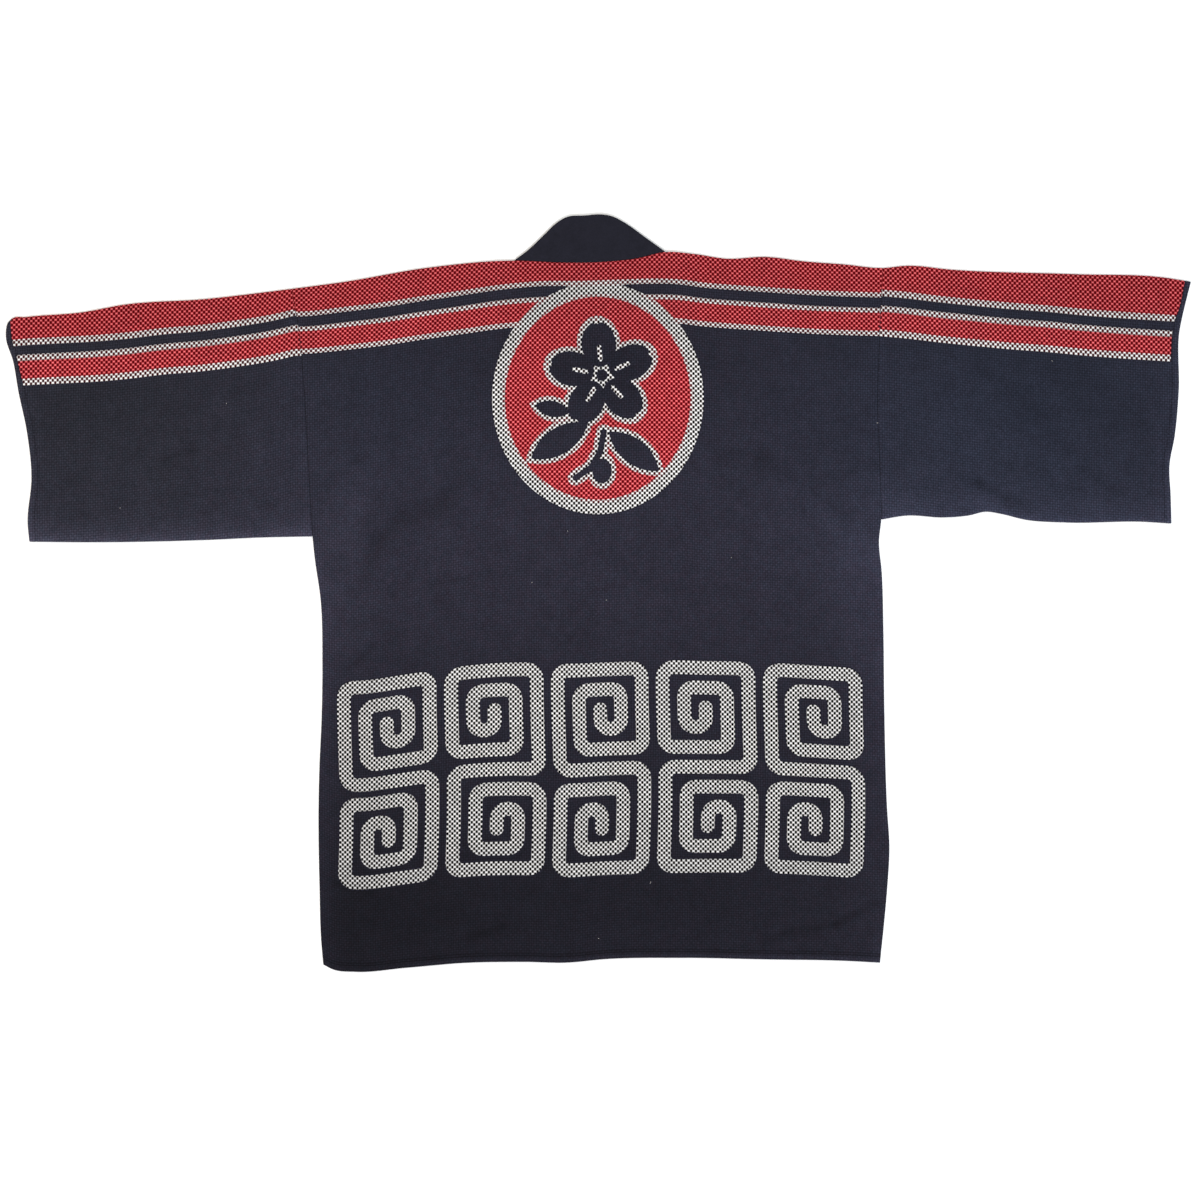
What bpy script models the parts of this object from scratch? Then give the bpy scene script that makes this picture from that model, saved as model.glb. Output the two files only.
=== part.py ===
"""Happi coat of thick navy cotton, laid flat on its front with its back upward.

Metres, +Z up. The coat lies on the plane z = 0, with the collar toward +Y. Left and right are
those of someone who looks down at it. The origin is in the middle of the coat's outline, on
the plane that it lies on. The sizes and tables are in millimetres.

Each piece that a maker cuts is one closed solid: the back, two fronts, two sleeves that are
flattened tubes, and the collar band, parted where it folds over at the neck.
"""
from collections import namedtuple
import math

import bpy
import numpy as np

MM = 0.001

WALL = 1.2              # thickness of the thick cotton
HEM_WALL = 2.2          # the cotton turned up and sewn at the hem
HEM_DEPTH = 10.0        # height of that turning
HEM_STEP = 6.0          # height over which the turning thins out into the single cloth
SEAM_GAP = 0.3          # between pieces that are sewn to each other
AIR = 2.0               # how far the two layers lie apart in the open cloth
EASE = 60.0             # distance in which they part, from a closed edge inward
OPEN_EDGE = 0.55        # share of AIR that is left at the hem, the cuffs and the neck
FOLD_RADIUS = WALL + SEAM_GAP / 2   # outer radius of a sleeve's folded edges
BAND_WALL = 2.0         # the collar band: plain cotton folded double and pressed
BAND_WIDTH = 54.0       # finished width of the collar band
BAND_BEND = 0.7         # how far the band's folded edge rounds off
NECK_LEFT = -95.0       # where the neckline meets the shoulder folds
NECK_RIGHT = 76.0
BAND_HEM_LEFT = -80.0   # where the seams of the collar band meet the hem
BAND_HEM_RIGHT = 66.0
BAND_HEM_HEIGHT = -416.0   # height of the hem at those seams
COLLAR_TRIM = 1.5       # how much of the collar's sharp corners is pressed away

# One edge of the coat: "at" runs along the edge, "lies" says where the edge is there.
Row = namedtuple("Row", "at lies")

# Shoulder folds and neckline, from the left cuff to the right cuff: across, height.
SHOULDER = (
    Row(-667.5, 305.5), Row(-663, 310), Row(-648, 312), Row(-580, 318), Row(-540, 325.5),
    Row(-444, 332.5), Row(-354, 343), Row(-286, 352), Row(-195, 367.5), Row(NECK_LEFT, 375.7),
    Row(-43, 373.5), Row(2, 374), Row(42, 378), Row(NECK_RIGHT, 385.3), Row(110, 383),
    Row(144, 378), Row(189, 380), Row(234, 374.8), Row(278, 371.5), Row(322, 367.5),
    Row(347, 370), Row(400, 365.5), Row(540, 360.5), Row(641, 356.5), Row(669.5, 352),
)
# Free edge of the collar behind the neck: across, height.
COLLAR_EDGE = (
    Row(NECK_LEFT, 376), Row(-82.5, 385), Row(-60, 406), Row(-50, 416), Row(-38, 424),
    Row(-15, 426.6), Row(5, 427.7), Row(16, 425.5), Row(31, 417.5), Row(53, 401.7),
    Row(NECK_RIGHT, 385.3),
)
# Cuffs: height, across.
LEFT_CUFF = (
    Row(57, -643), Row(78, -645), Row(130, -640.5), Row(178, -645), Row(229, -655.5),
    Row(263, -661.5), Row(288, -669.5), Row(298, -669.5), Row(308, -667),
)
RIGHT_CUFF = (
    Row(78, 647.5), Row(110, 646.5), Row(144, 645), Row(178, 651), Row(229, 655.5),
    Row(297, 656.5), Row(314, 660), Row(352, 669.5),
)
# Lower edges of the sleeves: across, height.
LEFT_UNDERSLEEVE = (
    Row(-645, 58), Row(-560, 57.5), Row(-444, 60), Row(-376, 63), Row(-323.5, 64),
)
RIGHT_UNDERSLEEVE = (
    Row(319, 83), Row(347, 87.5), Row(392, 85.5), Row(420, 88), Row(437, 92), Row(455, 89.5),
    Row(482, 83), Row(527, 79.8), Row(618, 80.5), Row(648, 78.5),
)
# Side seams from the hem up, with the armhole seams above: height, across.
LEFT_SIDE = (
    Row(-428, -310), Row(-398, -313), Row(-330, -315.3), Row(-250, -316.4), Row(-195, -315.3),
    Row(-144, -313), Row(-80, -312), Row(-8, -314), Row(42, -321), Row(64, -323.2),
    Row(116, -326), Row(217, -331.7), Row(263, -335), Row(297, -338.4), Row(320, -342.4),
    Row(346, -347),
)
RIGHT_SIDE = (
    Row(-418, 318), Row(-381, 322), Row(-330, 326.6), Row(-290, 328.8), Row(-240, 326),
    Row(-127, 323), Row(-42, 322), Row(25, 320), Row(59, 317), Row(83, 319.5),
    Row(116, 318.7), Row(217, 315.4), Row(297, 317.5), Row(342, 319.8), Row(368, 321.5),
)
# Hem: across, height.
HEM = (
    Row(-312, -419), Row(-300, -425), Row(-275, -427.7), Row(-218, -423.2), Row(-150, -417.5),
    Row(-82, -416.4), Row(-37, -417.3), Row(8, -413.3), Row(98, -411.9), Row(189, -413.6),
    Row(279, -415.3), Row(318, -417.5),
)

# Ridges of loose cloth, from one end to the other, with their half width and height.
Ridge = namedtuple("Ridge", "x0 y0 x1 y1 spread rise")
RIDGES = (
    Ridge(-252, 20, -216, 66, 16, 2.4),       # from the left side up to the shoulder blade
    Ridge(-216, 66, -158, 96, 16, 3.0),
    Ridge(-158, 96, -132, 150, 15, 2.0),
    Ridge(196, 138, 306, 48, 17, 2.4),        # down to the right underarm
    Ridge(-224, -4, -111, -2, 14, 1.3),       # level creases across the back
    Ridge(47, 0, 183, -14, 14, 1.3),
    Ridge(-290, -84, -250, -80, 14, 1.4),
    Ridge(262, 18, 300, -24, 15, 1.2),
    Ridge(186, -378, 306, -342, 20, 2.2),     # above the hem, to the right side
    Ridge(-262, -398, -70, -390, 22, 1.8),    # the waved part of the hem
    Ridge(-478, 134, -372, 166, 16, 2.2),     # left sleeve
    Ridge(-620, 210, -560, 120, 30, 1.0),
    Ridge(372, 150, 430, 114, 16, 2.6),       # right sleeve, down to its lower edge
    Ridge(430, 114, 446, 100, 15, 3.0),
    Ridge(540, 250, 600, 150, 30, 1.0),
    Ridge(-180, -170, -60, -140, 60, 0.8),    # broad swells
    Ridge(90, -120, 220, -170, 60, 0.8),
    Ridge(-120, 260, 120, 220, 70, 0.7),
)

NAVY = (0.030, 0.028, 0.043)
COLLAR_NAVY = (0.024, 0.024, 0.036)
CLOTH_ROUGHNESS = 0.9

# Counts of the steps in each piece's grid.
BACK_COLUMNS = 40
BACK_ROWS = 46
FRONT_COLUMNS = (0.0, 0.04, 0.1, 0.2, 0.45, 0.7, 1.0)   # from the side seam inward
FRONT_ROWS = 40
SLEEVE_SECTIONS = 18
SLEEVE_STEPS = 15
ROUND_STEPS = 4
BAND_COLUMNS = 3
BAND_ROWS = 16
COLLAR_ROWS = (0.0, 0.5, 0.85, 1.0)       # shares of the way from the neckline to the fold
COLLAR_BEND = (0.0, 0.0, 0.25, 1.0)       # share of BAND_BEND that each of them drops
SETTLING_ROUNDS = 14                      # repeats that bring a grid onto its curved edges
CREASE_ANGLE = 40.0                       # degrees past which an edge is shaded sharp


def edge(rows, at):
    """Where an edge lies: a cubic between the rows, its slopes taken from their neighbours."""
    knots = np.array([row.at for row in rows], float)
    values = np.array([row.lies for row in rows], float)
    slopes = np.gradient(values, knots)
    at = np.clip(at, knots[0], knots[-1])
    k = np.clip(np.searchsorted(knots, at) - 1, 0, len(knots) - 2)
    step = knots[k + 1] - knots[k]
    t = (at - knots[k]) / step
    start = values[k] * (1 + 2 * t) * (1 - t) ** 2 + slopes[k] * step * t * (1 - t) ** 2
    end = values[k + 1] * t ** 2 * (3 - 2 * t) + slopes[k + 1] * step * t ** 2 * (t - 1)
    return start + end


def ease(distance, reach=EASE):
    """Smooth rise from 0 at no distance to 1 at the full reach."""
    t = np.clip(distance / reach, 0, 1)
    return t * t * (3 - 2 * t)


def seam_line(top, foot, y):
    """Straight seam of the collar band, from the neckline's end down to the hem."""
    return foot + (top - foot) * (y - BAND_HEM_HEIGHT) / (edge(SHOULDER, top) - BAND_HEM_HEIGHT)


def undersleeve(x):
    """Height of the sleeves' lower edges, carried on level inside the body."""
    return np.where(x < 0, edge(LEFT_UNDERSLEEVE, x), edge(RIGHT_UNDERSLEEVE, x))


def looseness(x, y):
    """How far the layers have parted: 0 at a closed edge, 1 in the open cloth.

    The body and the sleeves each ease in from their own closed edges, and the two are
    joined so that the cloth runs on without a step where one passes into the other.
    """
    beside_neck = ease(x - NECK_LEFT + EASE) * ease(NECK_RIGHT + EASE - x)
    below_fold = np.maximum(ease(edge(SHOULDER, x) - y), OPEN_EDGE * beside_neck)
    above_hem = OPEN_EDGE + (1 - OPEN_EDGE) * ease(y - edge(HEM, x))
    inside_sides = ease(x - edge(LEFT_SIDE, y)) * ease(edge(RIGHT_SIDE, y) - x)
    body = inside_sides * below_fold * above_hem
    from_cuffs = ease(x - edge(LEFT_CUFF, y)) * ease(edge(RIGHT_CUFF, y) - x)
    inside_cuffs = OPEN_EDGE + (1 - OPEN_EDGE) * from_cuffs
    sleeves = ease(edge(SHOULDER, x) - y) * ease(y - undersleeve(x)) * inside_cuffs
    return 1 - (1 - body) * (1 - sleeves)


def ridge_height(x, y):
    """Sum of the ridges: each falls off as a bell curve with the distance to its line."""
    total = np.zeros_like(x)
    for ridge in RIDGES:
        run = np.array([ridge.x1 - ridge.x0, ridge.y1 - ridge.y0])
        along = ((x - ridge.x0) * run[0] + (y - ridge.y0) * run[1]) / (run @ run)
        along = np.clip(along, 0, 1)
        off = np.hypot(x - ridge.x0 - along * run[0], y - ridge.y0 - along * run[1])
        total += ridge.rise * np.exp(-(off / ridge.spread) ** 2)
    return total


def hem_share(x, y):
    """1 on the turned-up hem, falling to 0 above it."""
    return 1 - ease(y - edge(HEM, x) - HEM_DEPTH, HEM_STEP)


def lower_wall(x, y):
    """Thickness of the fronts, which is also the height of their upper faces."""
    return WALL + (HEM_WALL - WALL) * hem_share(x, y)


def cover_height(x, y):
    """Height of the coat's upper face."""
    loose = looseness(x, y)
    pressed = 2 * lower_wall(x, y) + SEAM_GAP
    return pressed + loose * (AIR + ridge_height(x, y))


def plan_grid(left, right, bottom, top, columns, rows, beyond=0.0):
    """Grid of places whose outer lines lie on four edges.

    The edges are functions: left and right give x for a height, bottom and top give y for a
    place across. Each place is the same share of the way between them, found by repeating.
    A row may also reach a distance beyond its share of the height.
    """
    u, v = np.meshgrid(columns, rows)
    x = np.zeros_like(u)
    for _ in range(SETTLING_ROUNDS):
        y = bottom(x) + (top(x) - bottom(x)) * v + beyond
        x = left(y) + (right(y) - left(y)) * u
    return x, y


def points(x, y, z):
    """Places and heights in millimetres as an array of points in metres."""
    return np.stack(np.broadcast_arrays(x, y, z), axis=-1) * MM


def grid_quads(rows, columns, first, flipped, closed=False):
    """Quads of a grid whose points are numbered row by row from the first one."""
    quads = []
    for i in range(rows - 1):
        for j in range(columns if closed else columns - 1):
            k = (j + 1) % columns
            a = first + i * columns + j
            b = first + i * columns + k
            c = first + (i + 1) * columns + k
            d = first + (i + 1) * columns + j
            quads.append((d, c, b, a) if flipped else (a, b, c, d))
    return quads


def rim_quads(outer_loop, inner_loop):
    """Quads that join two matching loops of points, the first one seen anticlockwise."""
    quads = []
    count = len(outer_loop)
    for i in range(count):
        k = (i + 1) % count
        quads.append((outer_loop[k], outer_loop[i], inner_loop[i], inner_loop[k]))
    return quads


def border_loop(rows, columns, first):
    """The outer points of a grid, anticlockwise."""
    number = np.arange(rows * columns).reshape(rows, columns) + first
    sides = (number[0, :-1], number[:-1, -1], number[-1, :0:-1], number[:0:-1, 0])
    return np.concatenate(sides).tolist()


def cloth_material(name, colour):
    """Matt cotton."""
    material = bpy.data.materials.new(name)
    material.use_nodes = True
    shader = material.node_tree.nodes["Principled BSDF"]
    shader.inputs["Base Color"].default_value = (*colour, 1.0)
    shader.inputs["Roughness"].default_value = CLOTH_ROUGHNESS
    shader.inputs["Metallic"].default_value = 0.0
    material.diffuse_color = (*colour, 1.0)
    return material


def add_solid(name, vertices, quads, colour):
    """A named object with its own mesh and material."""
    mesh = bpy.data.meshes.new(name)
    mesh.from_pydata(vertices.tolist(), [], quads)
    mesh.materials.append(cloth_material(name + "_cloth", colour))
    mesh.shade_smooth()
    mesh.set_sharp_from_angle(angle=math.radians(CREASE_ANGLE))
    mesh.validate()
    solid = bpy.data.objects.new(name, mesh)
    bpy.context.collection.objects.link(solid)
    return solid


def flat_wall(name, upper, lower, colour):
    """Closed wall of cloth between an upper and a lower grid of points."""
    rows, columns = upper.shape[:2]
    count = rows * columns
    quads = grid_quads(rows, columns, 0, flipped=False)
    quads += grid_quads(rows, columns, count, flipped=True)
    quads += rim_quads(border_loop(rows, columns, 0), border_loop(rows, columns, count))
    vertices = np.concatenate((upper.reshape(-1, 3), lower.reshape(-1, 3)))
    return add_solid(name, vertices, quads, colour)


def tube_wall(name, outer, inner, colour):
    """Closed wall of a tube between its outer and inner rings, open at both ends."""
    sections, count = outer.shape[:2]
    total = sections * count
    quads = grid_quads(sections, count, 0, flipped=False, closed=True)
    quads += grid_quads(sections, count, total, flipped=True, closed=True)
    first_ring = list(range(count))
    last_ring = list(range(total - count, total))
    quads += rim_quads(first_ring, [i + total for i in first_ring])
    quads += rim_quads(last_ring[::-1], [i + total for i in last_ring[::-1]])
    vertices = np.concatenate((outer.reshape(-1, 3), inner.reshape(-1, 3)))
    return add_solid(name, vertices, quads, colour)


def even_steps(count):
    """Shares of the way from 0 to 1."""
    return np.linspace(0.0, 1.0, count + 1)


def hem_steps(count, height):
    """Shares of the way up a panel, with close rows that hold the turned-up hem."""
    hem_rows = np.array([0.0, HEM_DEPTH, HEM_DEPTH + HEM_STEP]) / height
    return np.concatenate((hem_rows[:-1], np.linspace(hem_rows[-1], 1.0, count)))


def shoulder(x):
    """Height of the shoulder folds and the neckline."""
    return edge(SHOULDER, x)


def hem(x):
    """Height of the hem."""
    return edge(HEM, x)


def make_back():
    """The back: one wide panel from side to side, cut out at the neck.

    It hands back the points of its top edge, which the collar is sewn to.
    """
    height = shoulder(0.0) - hem(0.0)
    x, y = plan_grid(
        lambda at: edge(LEFT_SIDE, at),
        lambda at: edge(RIGHT_SIDE, at),
        hem,
        shoulder,
        even_steps(BACK_COLUMNS),
        hem_steps(BACK_ROWS, height),
    )
    upper = cover_height(x, y)
    flat_wall("back", points(x, y, upper), points(x, y, upper - lower_wall(x, y)), NAVY)
    return x[-1], y[-1]


def make_front(name, left, right, columns):
    """A front: a flat panel under the back, from the side seam to the collar band."""
    height = shoulder(0.0) - hem(0.0)
    x, y = plan_grid(left, right, hem, shoulder, columns, hem_steps(FRONT_ROWS, height))
    flat_wall(name, points(x, y, lower_wall(x, y)), points(x, y, 0.0), NAVY)


def sleeve_ring(radius, low, rise):
    """One turn round a flattened sleeve, as four matching lists.

    They give the share of the way from the lower edge to the fold, how far beyond that the
    point reaches, its own height, and how much of the cover's height takes its place.
    """
    turn = np.linspace(-0.5, 0.5, ROUND_STEPS + 1)[1:-1] * math.pi
    along = even_steps(SLEEVE_STEPS)
    still = np.zeros(len(along))
    share = np.concatenate((along, np.ones(len(turn)), along[::-1], np.zeros(len(turn))))
    reach = np.concatenate((still, np.cos(turn), still, -np.cos(turn))) * radius
    round_height = FOLD_RADIUS + np.sin(turn) * radius
    height = np.concatenate((still + low, round_height, still + rise, round_height[::-1]))
    cover = np.concatenate((still, np.zeros(len(turn)), still + 1, np.zeros(len(turn))))
    return share, reach, height, cover


def sleeve_points(near, far, radius, low, rise):
    """Points of a sleeve's outer or inner face, one ring after another."""
    share, reach, height, cover = sleeve_ring(radius, low, rise)
    x, y = plan_grid(
        near,
        far,
        lambda at: undersleeve(at) + FOLD_RADIUS,
        lambda at: shoulder(at) - FOLD_RADIUS,
        even_steps(SLEEVE_SECTIONS),
        share,
        reach[:, None],
    )
    return points(x.T, y.T, height + cover * cover_height(x.T, y.T))


def make_sleeve(name, near, far):
    """A sleeve: one cloth folded at the top and sewn below, a flattened tube."""
    outer = sleeve_points(near, far, FOLD_RADIUS, 0.0, 0.0)
    inner = sleeve_points(near, far, FOLD_RADIUS - WALL, WALL, -WALL)
    return tube_wall(name, outer, inner, NAVY)


def make_collar_back(across, height):
    """The collar behind the neck: the double band lying flat above the neckline.

    Its columns stand on the points of the back's top edge and halfway between them, so that
    the seam between the two keeps its width.
    """
    left = NECK_LEFT + COLLAR_TRIM
    right = NECK_RIGHT - COLLAR_TRIM
    seam = across[(across > left) & (across < right)]
    seam = np.concatenate(([left], seam, [right]))
    columns = np.sort(np.concatenate((seam, (seam[1:] + seam[:-1]) / 2)))
    share = np.array(COLLAR_ROWS)[:, None]
    low_edge = np.interp(columns, across, height) + SEAM_GAP
    y = low_edge + (edge(COLLAR_EDGE, columns) - low_edge) * share
    low = BAND_WALL + SEAM_GAP
    bend = np.array(COLLAR_BEND)[:, None] * BAND_BEND
    upper = points(columns, y, low + BAND_WALL - bend)
    flat_wall("collar_back", upper, points(columns, y, low), COLLAR_NAVY)


def make_collar_front(name, left, right):
    """The collar down a front: it runs up from the hem and folds over at the neck."""
    x, y = plan_grid(
        left,
        right,
        hem,
        lambda at: edge(COLLAR_EDGE, at),
        even_steps(BAND_COLUMNS),
        even_steps(BAND_ROWS),
    )
    flat_wall(name, points(x, y, BAND_WALL), points(x, y, 0.0), COLLAR_NAVY)


def make_coat():
    """All the pieces, with half of the seam gap taken from each side of a butted seam."""
    half = SEAM_GAP / 2

    def left_side(y):
        return edge(LEFT_SIDE, y)

    def right_side(y):
        return edge(RIGHT_SIDE, y)

    def left_seam(y):
        return seam_line(NECK_LEFT, BAND_HEM_LEFT, y)

    def right_seam(y):
        return seam_line(NECK_RIGHT, BAND_HEM_RIGHT, y)

    neck_across, neck_height = make_back()
    columns = np.array(FRONT_COLUMNS)
    make_front("front_left", left_side, lambda y: left_seam(y) - half, columns)
    make_front("front_right", lambda y: right_seam(y) + half, right_side, 1 - columns[::-1])
    make_sleeve("sleeve_left", lambda y: edge(LEFT_CUFF, y), lambda y: left_side(y) - SEAM_GAP)
    make_sleeve("sleeve_right", lambda y: right_side(y) + SEAM_GAP, lambda y: edge(RIGHT_CUFF, y))
    make_collar_back(neck_across, neck_height)
    make_collar_front(
        "collar_left", lambda y: left_seam(y) + half, lambda y: left_seam(y) + BAND_WIDTH
    )
    make_collar_front(
        "collar_right", lambda y: right_seam(y) - BAND_WIDTH, lambda y: right_seam(y) - half
    )


for old in list(bpy.data.objects):
    bpy.data.objects.remove(old)
make_coat()
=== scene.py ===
# %% [markdown]
# # A happi coat, laid on its front
# A happi is a short straight coat for festivals and shops. It is cut from a few rectangles of
# thick cotton: a back, two fronts, two sleeves and a long narrow collar band. This one lies
# flat with its back upward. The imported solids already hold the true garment, so each piece
# here is a finer shell on the same form, and the lesson spends its effort on the cloth: how it
# creases, how its two-colour weave is built, and how light meets dyed cotton.

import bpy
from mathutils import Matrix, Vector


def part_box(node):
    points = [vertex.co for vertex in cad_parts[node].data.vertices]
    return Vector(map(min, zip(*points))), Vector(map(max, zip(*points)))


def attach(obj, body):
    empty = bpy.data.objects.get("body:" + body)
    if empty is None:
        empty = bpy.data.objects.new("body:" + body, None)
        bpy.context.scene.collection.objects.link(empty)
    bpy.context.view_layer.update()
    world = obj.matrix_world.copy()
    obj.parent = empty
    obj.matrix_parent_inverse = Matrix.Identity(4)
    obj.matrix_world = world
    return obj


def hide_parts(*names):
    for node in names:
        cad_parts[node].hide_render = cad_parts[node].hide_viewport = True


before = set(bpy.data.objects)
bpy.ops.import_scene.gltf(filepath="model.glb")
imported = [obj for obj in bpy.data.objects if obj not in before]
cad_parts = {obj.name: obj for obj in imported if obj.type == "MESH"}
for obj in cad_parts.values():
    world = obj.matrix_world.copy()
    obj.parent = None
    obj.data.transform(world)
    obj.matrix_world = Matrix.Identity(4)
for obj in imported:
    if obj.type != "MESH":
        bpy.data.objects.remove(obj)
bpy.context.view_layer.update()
print("pieces to dress:", sorted(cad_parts))

# %% [markdown]
# ## Tools and units
# Sizes below are millimetres, because a tailor's numbers read better than fractions of a
# metre. They become Blender's metres in one place only, where a mesh is made.

# %% Tools
from collections import namedtuple
import math

import bpy
import numpy as np

MM = 0.001
print("one millimetre in Blender's units:", MM)

# %% [markdown]
# ## The outline
# Cloth that lies on a table has no straight edges left: the cuffs flare, the hem waves and the
# shoulders dip. An outline could be drawn as a curve object, but a function that gives the
# edge's place for any number of points keeps every later grid free to choose its own fineness.
# Each edge is a short table, and a cubic runs smoothly through its rows. Sizes are millimetres.

# %% Shoulders and neck
Row = namedtuple("Row", "at lies")        # "at" runs along the edge, "lies" says where it is

NECK_LEFT = -95.0
NECK_RIGHT = 76.0
SHOULDER = (        # shoulder folds and neckline: across, height
    Row(-667.5, 305.5), Row(-663, 310), Row(-648, 312), Row(-580, 318), Row(-540, 325.5),
    Row(-444, 332.5), Row(-354, 343), Row(-286, 352), Row(-195, 367.5), Row(NECK_LEFT, 375.7),
    Row(-43, 373.5), Row(2, 374), Row(42, 378), Row(NECK_RIGHT, 385.3), Row(110, 383),
    Row(144, 378), Row(189, 380), Row(234, 374.8), Row(278, 371.5), Row(322, 367.5),
    Row(347, 370), Row(400, 365.5), Row(540, 360.5), Row(641, 356.5), Row(669.5, 352),
)
COLLAR_EDGE = (     # the collar's free edge behind the neck: across, height
    Row(NECK_LEFT, 376), Row(-82.5, 385), Row(-60, 406), Row(-50, 416), Row(-38, 424),
    Row(-15, 426.6), Row(5, 427.7), Row(16, 425.5), Row(31, 417.5), Row(53, 401.7),
    Row(NECK_RIGHT, 385.3),
)
print("span of the sleeves, mm:", SHOULDER[-1].at - SHOULDER[0].at)

# %% [markdown]
# A sleeve is cut straight, yet laid flat its cuff leans and its lower edge sags between the
# cuff and the body. Either sleeve has its own tables, because no two sleeves fall alike.

# %% Edges of the sleeves
LEFT_CUFF = (       # height, across
    Row(57, -643), Row(78, -645), Row(130, -640.5), Row(178, -645), Row(229, -655.5),
    Row(263, -661.5), Row(288, -669.5), Row(298, -669.5), Row(308, -667),
)
RIGHT_CUFF = (
    Row(78, 647.5), Row(110, 646.5), Row(144, 645), Row(178, 651), Row(229, 655.5),
    Row(297, 656.5), Row(314, 660), Row(352, 669.5),
)
LEFT_UNDERSLEEVE = (    # lower edge of the sleeve: across, height
    Row(-645, 58), Row(-560, 57.5), Row(-444, 60), Row(-376, 63), Row(-323.5, 64),
)
RIGHT_UNDERSLEEVE = (
    Row(319, 83), Row(347, 87.5), Row(392, 85.5), Row(420, 88), Row(437, 92), Row(455, 89.5),
    Row(482, 83), Row(527, 79.8), Row(618, 80.5), Row(648, 78.5),
)
print("height of the left cuff, mm:", LEFT_CUFF[-1].at - LEFT_CUFF[0].at)

# %% [markdown]
# The body's sides are sewn from the hem up to the underarm, and above it the same line goes on
# as the armhole. The hem waves a little on the left, where the cloth was not pulled straight.

# %% Sides and hem
LEFT_SIDE = (       # side seam, then the armhole above it: height, across
    Row(-428, -310), Row(-398, -313), Row(-330, -315.3), Row(-250, -316.4), Row(-195, -315.3),
    Row(-144, -313), Row(-80, -312), Row(-8, -314), Row(42, -321), Row(64, -323.2),
    Row(116, -326), Row(217, -331.7), Row(263, -335), Row(297, -338.4), Row(320, -342.4),
    Row(346, -347),
)
RIGHT_SIDE = (
    Row(-418, 318), Row(-381, 322), Row(-330, 326.6), Row(-290, 328.8), Row(-240, 326),
    Row(-127, 323), Row(-42, 322), Row(25, 320), Row(59, 317), Row(83, 319.5),
    Row(116, 318.7), Row(217, 315.4), Row(297, 317.5), Row(342, 319.8), Row(368, 321.5),
)
HEM = (             # across, height
    Row(-312, -419), Row(-300, -425), Row(-275, -427.7), Row(-218, -423.2), Row(-150, -417.5),
    Row(-82, -416.4), Row(-37, -417.3), Row(8, -413.3), Row(98, -411.9), Row(189, -413.6),
    Row(279, -415.3), Row(318, -417.5),
)
print("width of the hem, mm:", HEM[-1].at - HEM[0].at)

# %% [markdown]
# A cubic between two rows, with slopes taken from their neighbours, leaves no corners. A second
# curve is used all over: an ease starts and ends level, so two forms that it joins show no line
# between them.

# %% Curves through the tables
def edge(rows, at):
    """Where an edge lies: a cubic between two rows, with slopes taken from their neighbours."""
    knots = np.array([row.at for row in rows], float)
    values = np.array([row.lies for row in rows], float)
    slopes = np.gradient(values, knots)
    at = np.clip(at, knots[0], knots[-1])
    k = np.clip(np.searchsorted(knots, at) - 1, 0, len(knots) - 2)
    step = knots[k + 1] - knots[k]
    t = (at - knots[k]) / step
    start = values[k] * (1 + 2 * t) * (1 - t) ** 2 + slopes[k] * step * t * (1 - t) ** 2
    end = values[k + 1] * t ** 2 * (3 - 2 * t) + slopes[k + 1] * step * t ** 2 * (t - 1)
    return start + end


def ease(distance, reach):
    """Smooth rise from 0 to 1 over the reach: 3 t^2 - 2 t^3."""
    t = np.clip(distance / reach, 0, 1)
    return t * t * (3 - 2 * t)


print("share of an ease at a quarter of its reach:", float(ease(0.25, 1.0)))

# %% [markdown]
# Each edge of the coat is now a function. An upright one gives its place across for a height,
# and a level one its height for a place across.

# %% Edges as functions
def shoulder(x):
    """Height of the shoulder folds and the neckline."""
    return edge(SHOULDER, x)


def hem(x):
    """Height of the hem."""
    return edge(HEM, x)


def left_side(y):
    """Place across of the left side seam and armhole."""
    return edge(LEFT_SIDE, y)


def right_side(y):
    """Place across of the right side seam and armhole."""
    return edge(RIGHT_SIDE, y)


def left_cuff(y):
    """Place across of the left cuff's edge."""
    return edge(LEFT_CUFF, y)


def right_cuff(y):
    """Place across of the right cuff's edge."""
    return edge(RIGHT_CUFF, y)


def undersleeve(x):
    """Height of the sleeves' lower edges, carried on level inside the body."""
    return np.where(x < 0, edge(LEFT_UNDERSLEEVE, x), edge(RIGHT_UNDERSLEEVE, x))


print("hem at the middle, mm:", round(float(hem(0.0)), 1))

# %% [markdown]
# ## How the cloth lies
# Two layers lie on the table with a little air between them. They meet at folds and seams and
# part in the open cloth. The hem is turned up and sewn, so it is thicker than the rest. These
# few sizes drive every height that follows.

# %% Thicknesses
WALL = 1.2              # thickness of the cloth
HEM_WALL = 2.2          # the cloth turned up and sewn at the hem
HEM_DEPTH = 9.5         # height of that turning
HEM_STEP = 1.6          # height over which its edge steps down to the single cloth
HEM_SEWN = 7.2          # height of the sewing that holds it
SEAM_GAP = 0.3
AIR = 2.0               # how far the layers lie apart in the open cloth
EASE = 60.0             # distance in which they part, from a closed edge inward
OPEN_EDGE = 0.55        # share of AIR left at the hem, the cuffs and the neck
FOLD_RADIUS = WALL + SEAM_GAP / 2

print("one fold stands, mm:", round(2 * FOLD_RADIUS, 2))
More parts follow.
